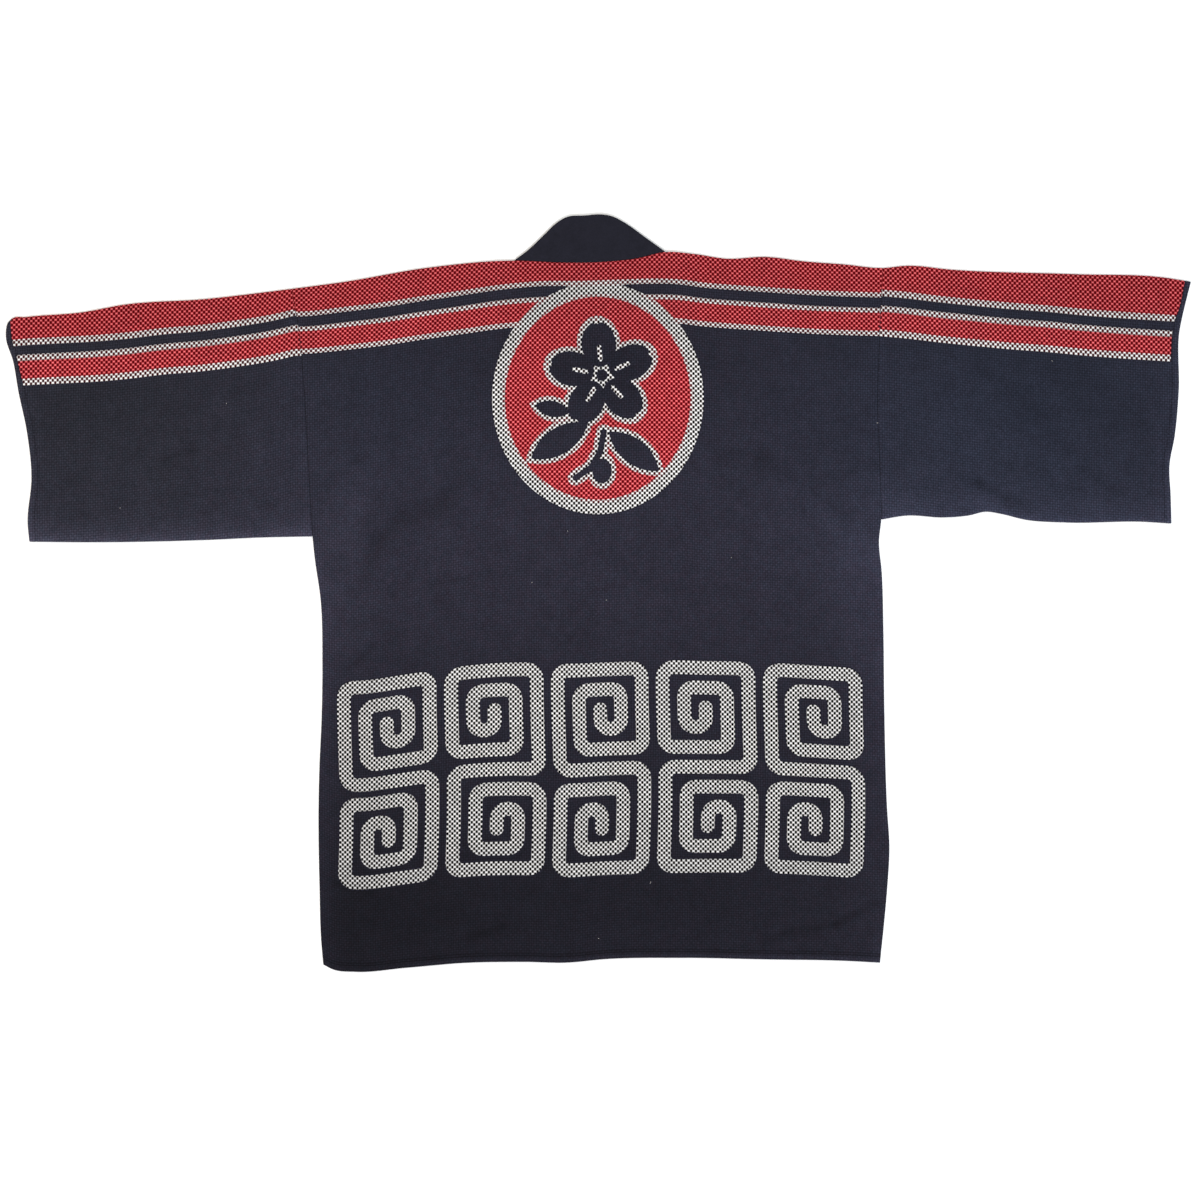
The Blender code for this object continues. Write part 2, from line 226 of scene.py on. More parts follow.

# %% [markdown]
# Where the coat was smoothed by hand, the spare cloth gathered into soft ridges. A cloth simulation
# would give ridges, but not these ones, so each is listed as a line with a width and a height.

# %% Broad ridges
Crease = namedtuple("Crease", "x0 y0 x1 y1 spread rise")
CREASES = tuple(Crease(*row) for row in (
    (-252, 20, -216, 66, 16, 2.4),       # from the left side up to the shoulder blade
    (-216, 66, -158, 96, 16, 3.0),
    (-158, 96, -132, 150, 15, 2.0),
    (196, 138, 306, 48, 17, 2.4),        # down to the right underarm
    (-224, -4, -111, -2, 14, 1.3),       # level creases across the back
    (47, 0, 183, -14, 14, 1.3),
    (-290, -84, -250, -80, 14, 1.4),
    (262, 18, 300, -24, 15, 1.2),
    (186, -378, 306, -342, 20, 2.2),     # above the hem, to the right side
    (-262, -398, -70, -390, 22, 1.8),    # the waved part of the hem
    (-478, 134, -372, 166, 16, 2.2),     # left sleeve
    (-620, 210, -560, 120, 30, 1.0),
    (372, 150, 430, 114, 16, 2.6),       # right sleeve, down to its lower edge
    (430, 114, 446, 100, 15, 3.0),
    (540, 250, 600, 150, 30, 1.0),
    (-180, -170, -60, -140, 60, 0.8),    # broad swells
    (90, -120, 220, -170, 60, 0.8),
    (-120, 260, 120, 220, 70, 0.7),
))
print("broad ridges and swells:", len(CREASES))

# %% [markdown]
# Beside a ridge the cloth dips, more sharply than the ridge rises. These troughs are what the
# eye reads as creases, because each of them holds a thin line of shade.

# %% Sharp troughs
TROUGHS = tuple(Crease(*row) for row in (
    (-268, 22, -250, 62, 8, -1.1),       # beside the ridge on the left of the back
    (-250, 62, -227, 86, 8, -1.1),
    (-227, 86, -190, 94, 9, -1.1),
    (-190, 94, -178, 104, 9, -1.0),
    (-178, 104, -158, 132, 8, -0.9),
    (-321, 84, -299, 134, 4.5, -0.8),
    (-299, 134, -266, 157, 4.5, -0.8),
    (-233, -2, -215, 14, 4.5, -0.8),
    (-197, 9, -165, 14, 5, -0.8),
    (-165, 14, -120, 23, 5, -0.6),
    (-286, -88, -256, -60, 5, -1.1),
    (-256, -60, -219, -46, 5, -0.9),
    (-297, -84, -288, -62, 4.5, -0.8),
    (138, 156, 183, 152, 13, -0.9),      # right of the back, toward the underarm
    (183, 152, 219, 134, 13, -0.9),
    (210, 114, 242, 77, 4.5, -0.8),
    (242, 116, 264, 98, 4.5, -1.0),
    (264, 98, 287, 82, 4.5, -1.1),
    (246, 133, 287, 138, 4.5, -0.8),
    (287, 138, 314, 145, 4.5, -0.7),
    (278, 28, 301, -27, 4.5, -1.0),
    (16, 43, 52, 16, 5, -0.6),
    (52, 16, 93, 7, 5, -0.6),
    (93, 7, 165, 3, 5, -0.5),
    (-56, -48, -2, -48, 5, -0.5),
    (-146, -389, -107, -377, 5, -1.0),   # above the hem
    (-297, -328, -254, -337, 5, -0.7),
    (187, -393, 211, -384, 5, -0.9),
    (211, -384, 268, -374, 5, -1.1),
    (268, -374, 315, -350, 5, -1.4),
    (-488, 151, -456, 164, 5, -1.3),     # left sleeve
    (-412, 223, -376, 243, 5, -0.9),
    (-610, 119, -579, 135, 5, -0.9),
    (-468, 88, -428, 96, 5, -0.8),
    (-595, 84, -560, 84, 6, -0.6),
    (396, 138, 427, 125, 5, -1.3),       # right sleeve
    (427, 125, 460, 107, 6, -2.3),
    (460, 107, 484, 98, 6, -2.2),
    (546, 142, 580, 117, 4.5, -0.7),
    (580, 117, 606, 107, 4.5, -0.8),
    (547, 206, 611, 206, 4, -0.5),
    (577, 192, 624, 190, 4, -0.5),
    (424, 254, 478, 230, 9, -0.9),       # down the middle of the right sleeve
    (466, 214, 506, 196, 13, -1.1),
    (517, 177, 543, 154, 9, -0.7),
))
print("troughs:", len(TROUGHS))

# %% [markdown]
# A crease is a bell curve across its line. Washed cotton is also uneven everywhere, and many
# faint waves in seeded directions, the long ones higher than the short, stand for that.

# %% Creases and faint waves as heights
WAVE_COUNT = 26
LONGEST_WAVE = 120.0
SHORTEST_WAVE = 16.0
MEDIUM_WAVE = 45.0
WAVE_RISE = 0.10        # height of a wave of medium length


def run_distance(start, end, x, y):
    """Distance to the straight run between two points: square onto it, or to its nearer end."""
    run = np.subtract(end, start)
    along = np.clip(((x - start[0]) * run[0] + (y - start[1]) * run[1]) / (run @ run), 0, 1)
    return np.hypot(x - start[0] - along * run[0], y - start[1] - along * run[1])


def crease_height(creases, x, y):
    """Sum of creases: each falls off as a bell curve with the distance to its line."""
    total = np.zeros_like(x)
    for crease in creases:
        off = run_distance((crease.x0, crease.y0), (crease.x1, crease.y1), x, y)
        total += crease.rise * np.exp(-(off / crease.spread) ** 2)
    return total


def unevenness(x, y):
    """Sum of plane waves, rise * sin(2 pi * distance along its direction / length + phase)."""
    random = np.random.default_rng(11)
    lengths = np.geomspace(LONGEST_WAVE, SHORTEST_WAVE, WAVE_COUNT)
    turns = random.uniform(0, math.pi, WAVE_COUNT)
    phases = random.uniform(0, 2 * math.pi, WAVE_COUNT)
    total = np.zeros_like(x)
    for length, turn, phase in zip(lengths, turns, phases):
        along = x * math.cos(turn) + y * math.sin(turn)
        rise = WAVE_RISE * (length / MEDIUM_WAVE) ** 0.8
        total += rise * np.sin(2 * math.pi * along / length + phase)
    return total


a_ridge = crease_height(CREASES, np.array(-216.0), np.array(66.0))
print("the ridge at the left shoulder blade rises, mm:", round(float(a_ridge), 2))

# %% [markdown]
# The height of the upper face is both walls, the gap, and the air between them with its creases.
# The air fades out toward every closed edge, and partly toward the open ones. Close above the
# hem the sewing gathers the cloth into small puckers.

# %% Height of the upper face
PUCKER_RISE = 0.35
PUCKER_AT = 12.0        # height of the puckers above the hem
PUCKER_REACH = 9.0      # how far they go up and down from there
LEAST_AIR = 0.2


def looseness(x, y):
    """How far the layers have parted: 0 at a closed edge, 1 in the open cloth.

    The body and the sleeves ease in from their own edges and join as 1 - (1 - a)(1 - b).
    """
    beside_neck = ease(x - NECK_LEFT + EASE, EASE) * ease(NECK_RIGHT + EASE - x, EASE)
    below_fold = np.maximum(ease(shoulder(x) - y, EASE), OPEN_EDGE * beside_neck)
    above_hem = OPEN_EDGE + (1 - OPEN_EDGE) * ease(y - hem(x), EASE)
    inside_sides = ease(x - left_side(y), EASE) * ease(right_side(y) - x, EASE)
    body = inside_sides * below_fold * above_hem
    from_cuffs = ease(x - left_cuff(y), EASE) * ease(right_cuff(y) - x, EASE)
    inside_cuffs = OPEN_EDGE + (1 - OPEN_EDGE) * from_cuffs
    sleeves = ease(shoulder(x) - y, EASE) * ease(y - undersleeve(x), EASE) * inside_cuffs
    return 1 - (1 - body) * (1 - sleeves)


def lower_wall(x, y):
    """Thickness of one layer: more on the turned-up hem than above it."""
    turned = 1 - ease(y - hem(x) - HEM_DEPTH + HEM_STEP / 2, HEM_STEP)
    return WALL + (HEM_WALL - WALL) * turned


def cover_height(x, y):
    """Height of the upper face: both layers, the gap, and the air with its creases."""
    loose = looseness(x, y)
    puckers = PUCKER_RISE * np.sin(x / 7.0 + 2 * np.sin(x / 31.0))
    puckers = puckers * np.exp(-((y - hem(x) - PUCKER_AT) / PUCKER_REACH) ** 2)
    relief = AIR + crease_height(CREASES, x, y) + crease_height(TROUGHS, x, y)
    relief = relief + unevenness(x, y)
    return 2 * lower_wall(x, y) + SEAM_GAP + loose * np.maximum(relief, LEAST_AIR) + loose * puckers


print("open cloth stands, mm:", round(float(cover_height(np.array(0.0), np.array(-50.0))), 2))

# %% [markdown]
# ## The weave's own coordinates
# The stripes are woven in, so they follow the threads. Measured down from the top stripe, each
# row of the weave is level with it near the shoulders and level with the hem below, because
# the cloth was never quite squared up on the table. These two coordinates, across and along
# the weave, become the UV map that every thread of the cloth follows.

# %% Rows of the weave
REPEAT = 5.5                # one repeat of the weave, both ways
HALF = REPEAT / 2
BODY_LENGTH = 765.0         # rows from the top stripe to the hem
SLEEVE_ROW_SCALE = 1.035    # the sleeves' rows are drawn a little wider apart

BACK_STRIPE = (             # the middle of the top white stripe: across, height
    Row(-346, 314.5), Row(-320, 316), Row(-291, 319.6), Row(-246, 325), Row(-201, 332),
    Row(-156, 338.4), Row(-111, 345), Row(-66, 349), Row(-20, 349.4), Row(25, 350.9),
    Row(60, 352), Row(93, 350.9), Row(115, 348), Row(160, 344.3), Row(206, 341.2),
    Row(251, 338.4), Row(296, 337), Row(321, 336.3),
)
LEFT_STRIPE = (
    Row(-670, 282), Row(-653, 283.7), Row(-612, 286), Row(-572, 288), Row(-531, 291.5),
    Row(-490, 296.4), Row(-450, 299.8), Row(-409, 305), Row(-368, 311.7), Row(-343, 317.5),
)
RIGHT_STRIPE = (
    Row(317, 339.8), Row(346, 337.2), Row(386, 332.4), Row(427, 328.4), Row(468, 324.6),
    Row(508, 321.6), Row(549, 317.6), Row(590, 314.6), Row(630, 312), Row(670, 309.8),
)
print("repeats across the back:", round(640 / REPEAT))

# %% [markdown]
# A row's number and its height are each other's inverse, so that a crossing of the weave can be
# placed on the cloth and a place on the cloth can be found in the weave.

# %% Rows and heights
def back_rows(x, y):
    """Row of the weave on the body: 0 on the top stripe, -BODY_LENGTH on the hem."""
    return (y - hem(x)) * BODY_LENGTH / (edge(BACK_STRIPE, x) - hem(x)) - BODY_LENGTH


def back_height(x, row):
    """Height at which a row of the body lies, the inverse of back_rows."""
    return hem(x) + (row + BODY_LENGTH) * (edge(BACK_STRIPE, x) - hem(x)) / BODY_LENGTH


def sleeve_stripe(x):
    """Height of the top stripe on either sleeve."""
    return np.where(x < 0, edge(LEFT_STRIPE, x), edge(RIGHT_STRIPE, x))


def sleeve_rows(x, y):
    """Row of the weave on a sleeve: 0 on its top stripe."""
    return (y - sleeve_stripe(x)) / SLEEVE_ROW_SCALE


def sleeve_height(x, row):
    """Height at which a row of a sleeve lies, the inverse of sleeve_rows."""
    return sleeve_stripe(x) + row * SLEEVE_ROW_SCALE


print("rows from the stripe up to the shoulder, mm:", round(float(back_rows(0.0, shoulder(0.0))), 1))

# %% [markdown]
# ## Thin shells
# A sheet could be one surface with a Solidify modifier, but a coat's edges differ: a seam
# rounds down on one side, a hem rounds on both. Here each piece is a closed shell between an
# upper and a lower grid, both worked out as whole arrays, with close rows at its rims so that
# the edge catches light as a soft roll and not as a knife cut.

# %% Steps, grids and rounded edges
RIM = (0.0, 0.1, 0.35, 0.75, 1.2, 2.4)      # lines over a rounded edge, from its rim inward
KEPT_EDGE = 0.05        # share of the wall left at the outermost line of a rounded edge
SETTLING_ROUNDS = 14


def steps(length, pitch, start=RIM, end=RIM):
    """Shares of the way along a side: close steps at both rims, even ones between them."""
    span = length - start[-1] - end[-1]
    middle = np.linspace(start[-1], length - end[-1], round(span / pitch) + 1)
    far_rim = length - np.array(end[-2::-1])
    return np.concatenate((start[:-1], middle, far_rim)) / length


def plan_grid(left, right, bottom, top, columns, rows, beyond=0.0):
    """Places at shares between four edges, found by repeating: y from x, then x from y."""
    u, v = np.meshgrid(columns, rows)
    x = np.zeros_like(u)
    for _ in range(SETTLING_ROUNDS):
        y = bottom(x) + (top(x) - bottom(x)) * v + beyond
        x = left(y) + (right(y) - left(y)) * u
    return x, y


def kept(distance, wall=WALL):
    """Share of a wall's thickness left near a rounded edge: a quarter circle."""
    t = 1 - np.clip(distance / wall, 0, 1)
    return KEPT_EDGE + (1 - KEPT_EDGE) * np.sqrt(1 - t * t)


print("lines over a rounded edge:", len(RIM))

# %% [markdown]
# Faces are numbers of points, four at a time, and they are made as whole arrays too. One
# function turns arrays into a Blender mesh and saves each set of values at its points.

# %% Faces and meshes
def grid_faces(number):
    """Quads of a grid of point numbers, anticlockwise seen from above."""
    corners = (number[:-1, :-1], number[:-1, 1:], number[1:, 1:], number[1:, :-1])
    return np.stack(corners, axis=-1).reshape(-1, 4)


def join_faces(first, second):
    """Quads between two closed loops of point numbers, the first one anticlockwise."""
    ahead = (np.roll(first, -1), first, second, np.roll(second, -1))
    return np.stack(ahead, axis=-1)


def make_mesh(name, points, faces, uv=None, **values):
    """A smooth mesh object from arrays, with a UV map and named values at its points."""
    mesh = bpy.data.meshes.new(name)
    mesh.from_pydata((points * MM).tolist(), [], faces.tolist())
    mesh.shade_smooth()
    if uv is not None:
        corner = np.empty(len(mesh.loops), np.int32)
        mesh.loops.foreach_get("vertex_index", corner)
        layer = mesh.uv_layers.new(name="weave")
        layer.data.foreach_set("uv", uv[corner].astype(np.float32).ravel())
    for key, value in values.items():
        attribute = mesh.attributes.new(key, "FLOAT", "POINT")
        attribute.data.foreach_set("value", value.astype(np.float32).ravel())
    piece = bpy.data.objects.new(name, mesh)
    bpy.context.scene.collection.objects.link(piece)
    print(name, "triangles:", len(faces) * (faces.shape[1] - 2))
    return piece


def shell(name, x, y, upper, lower, **values):
    """Closed shell between two grids of heights over the same places."""
    rows, columns = x.shape
    number = np.arange(rows * columns).reshape(rows, columns)
    below = number + rows * columns
    loops = []
    for grid in (number, below):
        sides = (grid[0, :-1], grid[:-1, -1], grid[-1, :0:-1], grid[:0:-1, 0])
        loops.append(np.concatenate(sides))
    faces = np.concatenate((grid_faces(number), grid_faces(below)[:, ::-1], join_faces(*loops)))
    top = np.stack((x, y, upper), axis=-1).reshape(-1, 3)
    bottom = np.stack((x, y, lower), axis=-1).reshape(-1, 3)
    doubled = {key: np.concatenate((value.ravel(),) * 2) for key, value in values.items()}
    uv = np.stack((doubled.pop("across"), doubled.pop("along")), axis=-1)
    return make_mesh(name, np.concatenate((top, bottom)), faces, uv, **doubled)


print("corners of a face:", grid_faces(np.arange(4).reshape(2, 2)).shape[1])

# %% [markdown]
# ## Where the cloth is dyed, how it has faded, and its painted light
# The red of the shoulder band runs over the fold, so the ground under it is dyed red too. Near
# the cuffs the colours stop short and leave a navy rim. Such things are broad and smooth, so
# they ride on the mesh as values at its points, which cost nothing and need no image.

# %% Ends of the colours
LEFT_PRINT_END = (          # where the colours stop short of a cuff: height, across
    Row(236, -649.5), Row(250, -653), Row(267, -657), Row(285, -662), Row(308, -664.5),
)
RIGHT_PRINT_END = (
    Row(265, 646), Row(291, 647.5), Row(308, 650.5), Row(317, 654.2), Row(351, 662.2),
)
RED_FROM = -1.0             # row of the weave from which the ground turns red
RED_STEP = 2.0              # and the distance over which it does
RIM_TO = 1.5                # how far inside the ends of the colours the navy rim goes
RIM_STEP = 2.5


def inside_print(x, y):
    """Distance inside the ends of the colours, near either cuff."""
    return np.minimum(x - edge(LEFT_PRINT_END, y), edge(RIGHT_PRINT_END, y) - x)


def dyed(x, y, row):
    """1 where the ground itself is red: above the top stripe, between the cuffs' navy rims."""
    return ease(row - RED_FROM, RED_STEP) * ease(inside_print(x, y) - RIM_TO, RIM_STEP)


at_top = float(right_cuff(345.0) - edge(RIGHT_PRINT_END, 345.0))
print("navy rim of the right cuff at the top, mm:", round(at_top, 1))

# %% [markdown]
# Washing has paled the dye unevenly, and painted light is laid over it: brightest across the middle of
# the back, dimmer toward the shoulders and paler at the sides, while the hem stays darkest. A share by
# height says most of it, and soft oval patches say the rest, among them painted light and shade beside
# the folds. Painted tints of coloured light make one sleeve bluer and the other a little greener.

# %% Pale and deep patches
FADE_AND_LIGHT_ROWS = (               # how light the navy is across the coat, dye fade with painted light brightest across the middle: height, share
    Row(-430, 0.50), Row(-400, 0.48), Row(-370, 0.455), Row(-343, 0.455), Row(-290, 0.50),
    Row(-234, 0.60), Row(-178, 0.67), Row(-121, 0.76), Row(-70, 0.90), Row(-30, 0.97),
    Row(40, 1.05), Row(150, 1.03), Row(240, 0.96), Row(300, 0.86), Row(380, 0.82),
)
Patch = namedtuple("Patch", "x y wide high turn change")
FADE_AND_SHADE_PATCHES = tuple(Patch(*row) for row in (       # paler (+) or darker (-): uneven dye, with painted light and shade on the sides and beside the folds
    (-292, 8, 34, 110, 0, 0.26),
    (292, -10, 36, 110, 0, 0.22),
    (299, 50, 32, 42, 0, 0.16),
    (236, 92, 80, 20, -39, 0.09),
    (345, 105, 30, 40, 0, 0.14),
    (-632, 70, 34, 26, 0, 0.14),
    (-260, -380, 130, 110, 0, -0.12),
    (306, -190, 24, 260, 0, 0.18),
    (316, -260, 12, 120, 0, 0.05),
    (-308, -340, 14, 40, 0, 0.05),
    (-306, -250, 15, 160, 0, 0.10),
    (245, 60, 70, 50, 0, 0.09),
    (50, -400, 80, 30, 0, 0.05),
    (0, 255, 200, 60, 0, -0.16),
    (300, 195, 60, 60, 0, -0.07),
    (10, 248, 50, 34, 0, -0.12),
    (290, -380, 150, 130, 0, 0.17),
    (-362, 150, 55, 90, 0, 0.11),
    (-570, 215, 90, 50, 0, -0.10),
    (-640, 150, 60, 200, 0, -0.05),
    (640, 150, 60, 200, 0, -0.02),
    (0, 200, 110, 90, 0, -0.12),
    (-270, 110, 60, 22, 40, 0.14),
    (-165, 45, 60, 30, 30, 0.08),
    (400, 150, 160, 50, -40, 0.10),
    (545, 235, 120, 42, -40, -0.13),
))
COOL_TINT_PATCHES = (           # where a painted tint of cool light turns the navy bluer
    Patch(480, 210, 270, 190, 0, 0.68),
    Patch(-240, 230, 130, 130, 0, 0.3),
)
GREEN_TINT_PATCHES = (         # and where a painted tint of greenish light turns it a little greener
    Patch(-560, 200, 200, 190, 0, 0.42),
)
# The patches hold painted light and shade as well as uneven dye.
print("patches of paler or deeper dye:", len(FADE_AND_SHADE_PATCHES))

# %% [markdown]
# A patch is a bell curve both ways, turned by its angle. The patches are added up, so where two
# of them overlap no edge shows between them.

# %% Sums of soft patches
def turned(middle_x, middle_y, degrees, x, y):
    """Distances from a middle along a direction and across it: x cos + y sin, y cos - x sin."""
    cos, sin = math.cos(math.radians(degrees)), math.sin(math.radians(degrees))
    x, y = x - middle_x, y - middle_y
    return x * cos + y * sin, y * cos - x * sin


def patch_value(patch, x, y):
    """Change made by a soft oval patch, a bell curve turned by its angle."""
    along, aside = turned(patch.x, patch.y, patch.turn, x, y)
    return patch.change * np.exp(-((along / patch.wide) ** 2 + (aside / patch.high) ** 2))


def painted_cool_tint(x, y):
    """Share of the painted tint of cool light on the navy: the sum of its soft patches."""
    return sum(patch_value(patch, x, y) for patch in COOL_TINT_PATCHES)


def painted_green_tint(x, y):
    """Share of the painted tint of greenish light on the navy: the sum of its soft patches."""
    return sum(patch_value(patch, x, y) for patch in GREEN_TINT_PATCHES)


# This share is a painted tint of cool light.
print("share of bluer dye on the right sleeve:", round(float(painted_cool_tint(480.0, 210.0)), 2))

# %% [markdown]
# Along the folded edges the navy is paler, a narrow bell curve beside each of them: painted light on
# the sleeves' lower folds and on the body's sides, and a paler rim at the hem and the cuffs.

# %% Paler edges, with painted light on folds and sides
Line = namedtuple("Line", "change at wide")     # a bell curve beside an edge
PAINTED_LIGHT_LEFT_FOLD = Line(0.5, 0.0, 7.5)    # painted light along its lower fold
PAINTED_LIGHT_RIGHT_FOLD = Line(0.3, 0.0, 4.0)
PAINTED_LIGHT_SIDES = Line(0.28, 0.0, 9.0)      # painted light along the body's sides
PALER_RIM = Line(0.40, 0.0, 5.0)       # along the turned edges of hem and cuffs
UNDERARM = 70.0             # height up to which the body's sides get painted light
UNDERARM_STEP = 30.0
FLAT_HEM_FROM = -240.0      # place across from which the hem's rim is paler
FLAT_HEM_STEP = 60.0


def line_value(line, distance, power=2):
    """Change made along an edge: change * exp(-((distance - at) / wide)^power)."""
    return line.change * np.exp(-((distance - line.at) / line.wide) ** power)


def paler_edges(x, y, beyond, from_cuff):
    """Paler strips along the edges, a bell curve beside each: painted light on the sleeves' lower
    folds and the body's sides, and paler rims at the hem and the cuffs.
    """
    above_fold = y - undersleeve(x)
    left = line_value(PAINTED_LIGHT_LEFT_FOLD, above_fold) * (x < 0)
    right = line_value(PAINTED_LIGHT_RIGHT_FOLD, above_fold) * (x > 0)
    side = line_value(PAINTED_LIGHT_SIDES, beyond) * ease(UNDERARM - y, UNDERARM_STEP)
    cuff_rim = line_value(PALER_RIM, from_cuff, 4)
    hem_rim = line_value(PALER_RIM, y - hem(x), 4) * ease(x - FLAT_HEM_FROM, FLAT_HEM_STEP)
    return (left + right) * (beyond > 0) + side * (beyond <= 0) + (cuff_rim + hem_rim)


# This change is painted light along the sleeve's lower fold.
print("dye lost on the left sleeve's lower fold:", PAINTED_LIGHT_LEFT_FOLD.change)

# %% [markdown]
# All that paled or darkened the navy, fade and painted light alike, becomes one value, by which the
# material multiplies the navy. Edges with cloth turned in behind them are paler, while the line of the
# sewing above the hem and every trough get painted shade.

# %% The navy's fade, painted light and painted shade
PAINTED_LIGHT_UNDERSLEEVE = 0.38     # painted light along the lower fold of the sleeves, over two fingers' width
UNDERSLEEVE_WIDTH = 42.0
PALE_CUFF = Line(0.09, 12.0, 8.0)       # where the cuff is turned in, two layers thick
PALE_ARMHOLE = Line(0.15, 5.0, 2.5)     # on the sleeve, over the seam's layers
PAINTED_SEWING_SHADE = Line(0.26, HEM_SEWN, 1.1)     # painted shade in the line of the sewing above the hem
PAINTED_TROUGH_SHADE = 0.12          # painted shade in a trough, for each millimetre of its depth


def worn(x, y):
    """How light the navy is, from its fade and painted light: a share by height, soft patches, edges
    and folds, and painted shade in the sewing line and the troughs.
    """
    total = edge(FADE_AND_LIGHT_ROWS, y)
    for patch in FADE_AND_SHADE_PATCHES:
        total = total + patch_value(patch, x, y)
    beyond = np.maximum(left_side(y) - x, x - right_side(y))
    low = ease(UNDERSLEEVE_WIDTH - (y - undersleeve(x)), UNDERSLEEVE_WIDTH)
    total = total + PAINTED_LIGHT_UNDERSLEEVE * low * (beyond > 0)
    from_cuff = np.minimum(x - left_cuff(y), right_cuff(y) - x)
    total = total + line_value(PALE_CUFF, from_cuff, 4)
    total = total + line_value(PALE_ARMHOLE, beyond)
    total = total * (1 + paler_edges(x, y, beyond, from_cuff))
    total = total * (1 - line_value(PAINTED_SEWING_SHADE, y - hem(x)))
    return total + PAINTED_TROUGH_SHADE * crease_height(TROUGHS, x, y)


# The share printed here holds painted light and shade as well as the dye's fade.
print("share of dye lightness at the hem and between the shoulders:",
      round(float(worn(0.0, -405.0)), 2), round(float(worn(0.0, 60.0)), 2))

# %% [markdown]
# The white and the red yarn get painted light across the middle and painted shade toward the hem and
# along the shoulders.

# %% Painted light and shade on the yarn
YARN_LIGHT_ROWS = (              # painted light and shade on the white and the red: height, share
    Row(-430, 0.72), Row(-320, 0.80), Row(-200, 0.86), Row(-90, 0.90), Row(60, 1.05),
    Row(180, 1.05), Row(250, 1.0), Row(300, 0.90), Row(345, 0.83), Row(385, 0.82),
)
YARN_SHADE_PATCHES = tuple(Patch(*row) for row in (
    (-270, -260, 90, 160, 0, -0.08),
    (600, 330, 140, 80, 0, -0.06),
    (-540, 290, 170, 70, 0, -0.07),
))


def clean(x, y):
    """Lightness of the coloured yarn: painted light and shade by height and in soft patches, and
    painted shade in the troughs.
    """
    total = edge(YARN_LIGHT_ROWS, y)
    for patch in YARN_SHADE_PATCHES:
        total = total + patch_value(patch, x, y)
    return total + PAINTED_TROUGH_SHADE * crease_height(TROUGHS, x, y)


# This share is painted light on the yarn.
print("share of clean white at the ring:", round(float(clean(0.0, 95.0)), 2))

# %% [markdown]
# ## The back
# The back is one wide panel. Its edges round down to the fronts below it, and at the armholes
# the same rounding leaves the fine dark groove of a pressed seam. The hem rounds from both
# faces, and its row of stitches presses a fine groove into the cloth.

# %% Hem, sewing and dye
HEM_GROOVE = 0.4
GROOVE_WIDTH = 0.9


def groove(distance, depth):
    """What a row of stitches pulls down: depth * exp(-(distance / width)^2)."""
    return depth * np.exp(-(distance / GROOVE_WIDTH) ** 2)


def hem_draw(x, y):
    """How far either face draws in to the middle of the wall at the rounded hem."""
    return lower_wall(x, y) / 2 * (1 - kept(y - hem(x), HEM_WALL / 2))


def dye_values(x, y, row):
    """All that the dyed cloth's material reads at a place."""
    return {
        "dyed": dyed(x, y, row), "worn": worn(x, y),
        "painted_cool_tint": painted_cool_tint(x, y), "painted_green_tint": painted_green_tint(x, y),
    }


print("a row of stitches dents the hem by mm:", HEM_GROOVE)

# %% [markdown]
# The grid of the back lies between the four edges, with close rows at the hem, where the
# turned-up cloth ends in a small step.

# %% Make the back
HEM_RIM = (0.0, 0.12, 0.4, 0.8, 1.2, 2.6, 4.2, 5.6, 6.5, 7.2, 7.9, 8.7, 9.5, 10.3, 11.5)
BODY_PITCH = 3.7            # between two lines of the grid
BODY_WIDTH = 645.0          # about, to share out the lines
BODY_HEIGHT = 790.0


def back_lower(x, y):
    """Under face of the back."""
    return cover_height(x, y) - lower_wall(x, y)


def back_upper(x, y):
    """Upper face of the back: the wall's thickness times what each rounded edge leaves."""
    left = kept(x - left_side(y))
    right = kept(right_side(y) - x)
    top = kept(shoulder(x) - y)
    rounded = back_lower(x, y) + lower_wall(x, y) * left * right * top - hem_draw(x, y)
    return rounded - groove(y - hem(x) - HEM_SEWN, HEM_GROOVE) * left * right


def make_back():
    """Shell of the back."""
    x, y = plan_grid(
        left_side, right_side, hem, shoulder,
        steps(BODY_WIDTH, BODY_PITCH), steps(BODY_HEIGHT, BODY_PITCH, HEM_RIM),
    )
    row = back_rows(x, y)
    return shell(
        "back_cloth", x, y, back_upper(x, y), back_lower(x, y) + hem_draw(x, y),
        across=x / REPEAT, along=row / REPEAT, **dye_values(x, y, row),
    )


back_cloth = make_back()

# %% [markdown]
# ## The fronts
# The fronts lie face down on the table. Nobody sees them here, but the piece is used from
# every side, so they get the same cloth, a hem and rounded edges. Where the raised yarn of
# the shoulder stripes will lie under them, they stand off the table by the yarn's thickness.
# Each front ends at a straight seam, which runs from the neck down to the hem.

# %% Seams of the collar band
BAND_WIDTH = 54.0
BAND_HEM_LEFT = -80.0       # where the seams meet the hem
BAND_HEM_RIGHT = 66.0
BAND_HEM_HEIGHT = -416.0


def seam_line(top, foot, y):
    """Straight seam of the collar band, from the neckline's end down to the hem."""
    return foot + (top - foot) * (y - BAND_HEM_HEIGHT) / (shoulder(top) - BAND_HEM_HEIGHT)


def left_seam(y):
    """Seam between the left front and the collar band."""
    return seam_line(NECK_LEFT, BAND_HEM_LEFT, y)


def right_seam(y):
    """Seam between the right front and the collar band."""
    return seam_line(NECK_RIGHT, BAND_HEM_RIGHT, y)


print("the left seam leans by mm:", BAND_HEM_LEFT - NECK_LEFT)

# %% [markdown]
# A front is a single layer from the side seam to the band's seam. Its grid is coarser than the
# back's, for it has no creases to show: it is pressed flat by the coat's own weight.

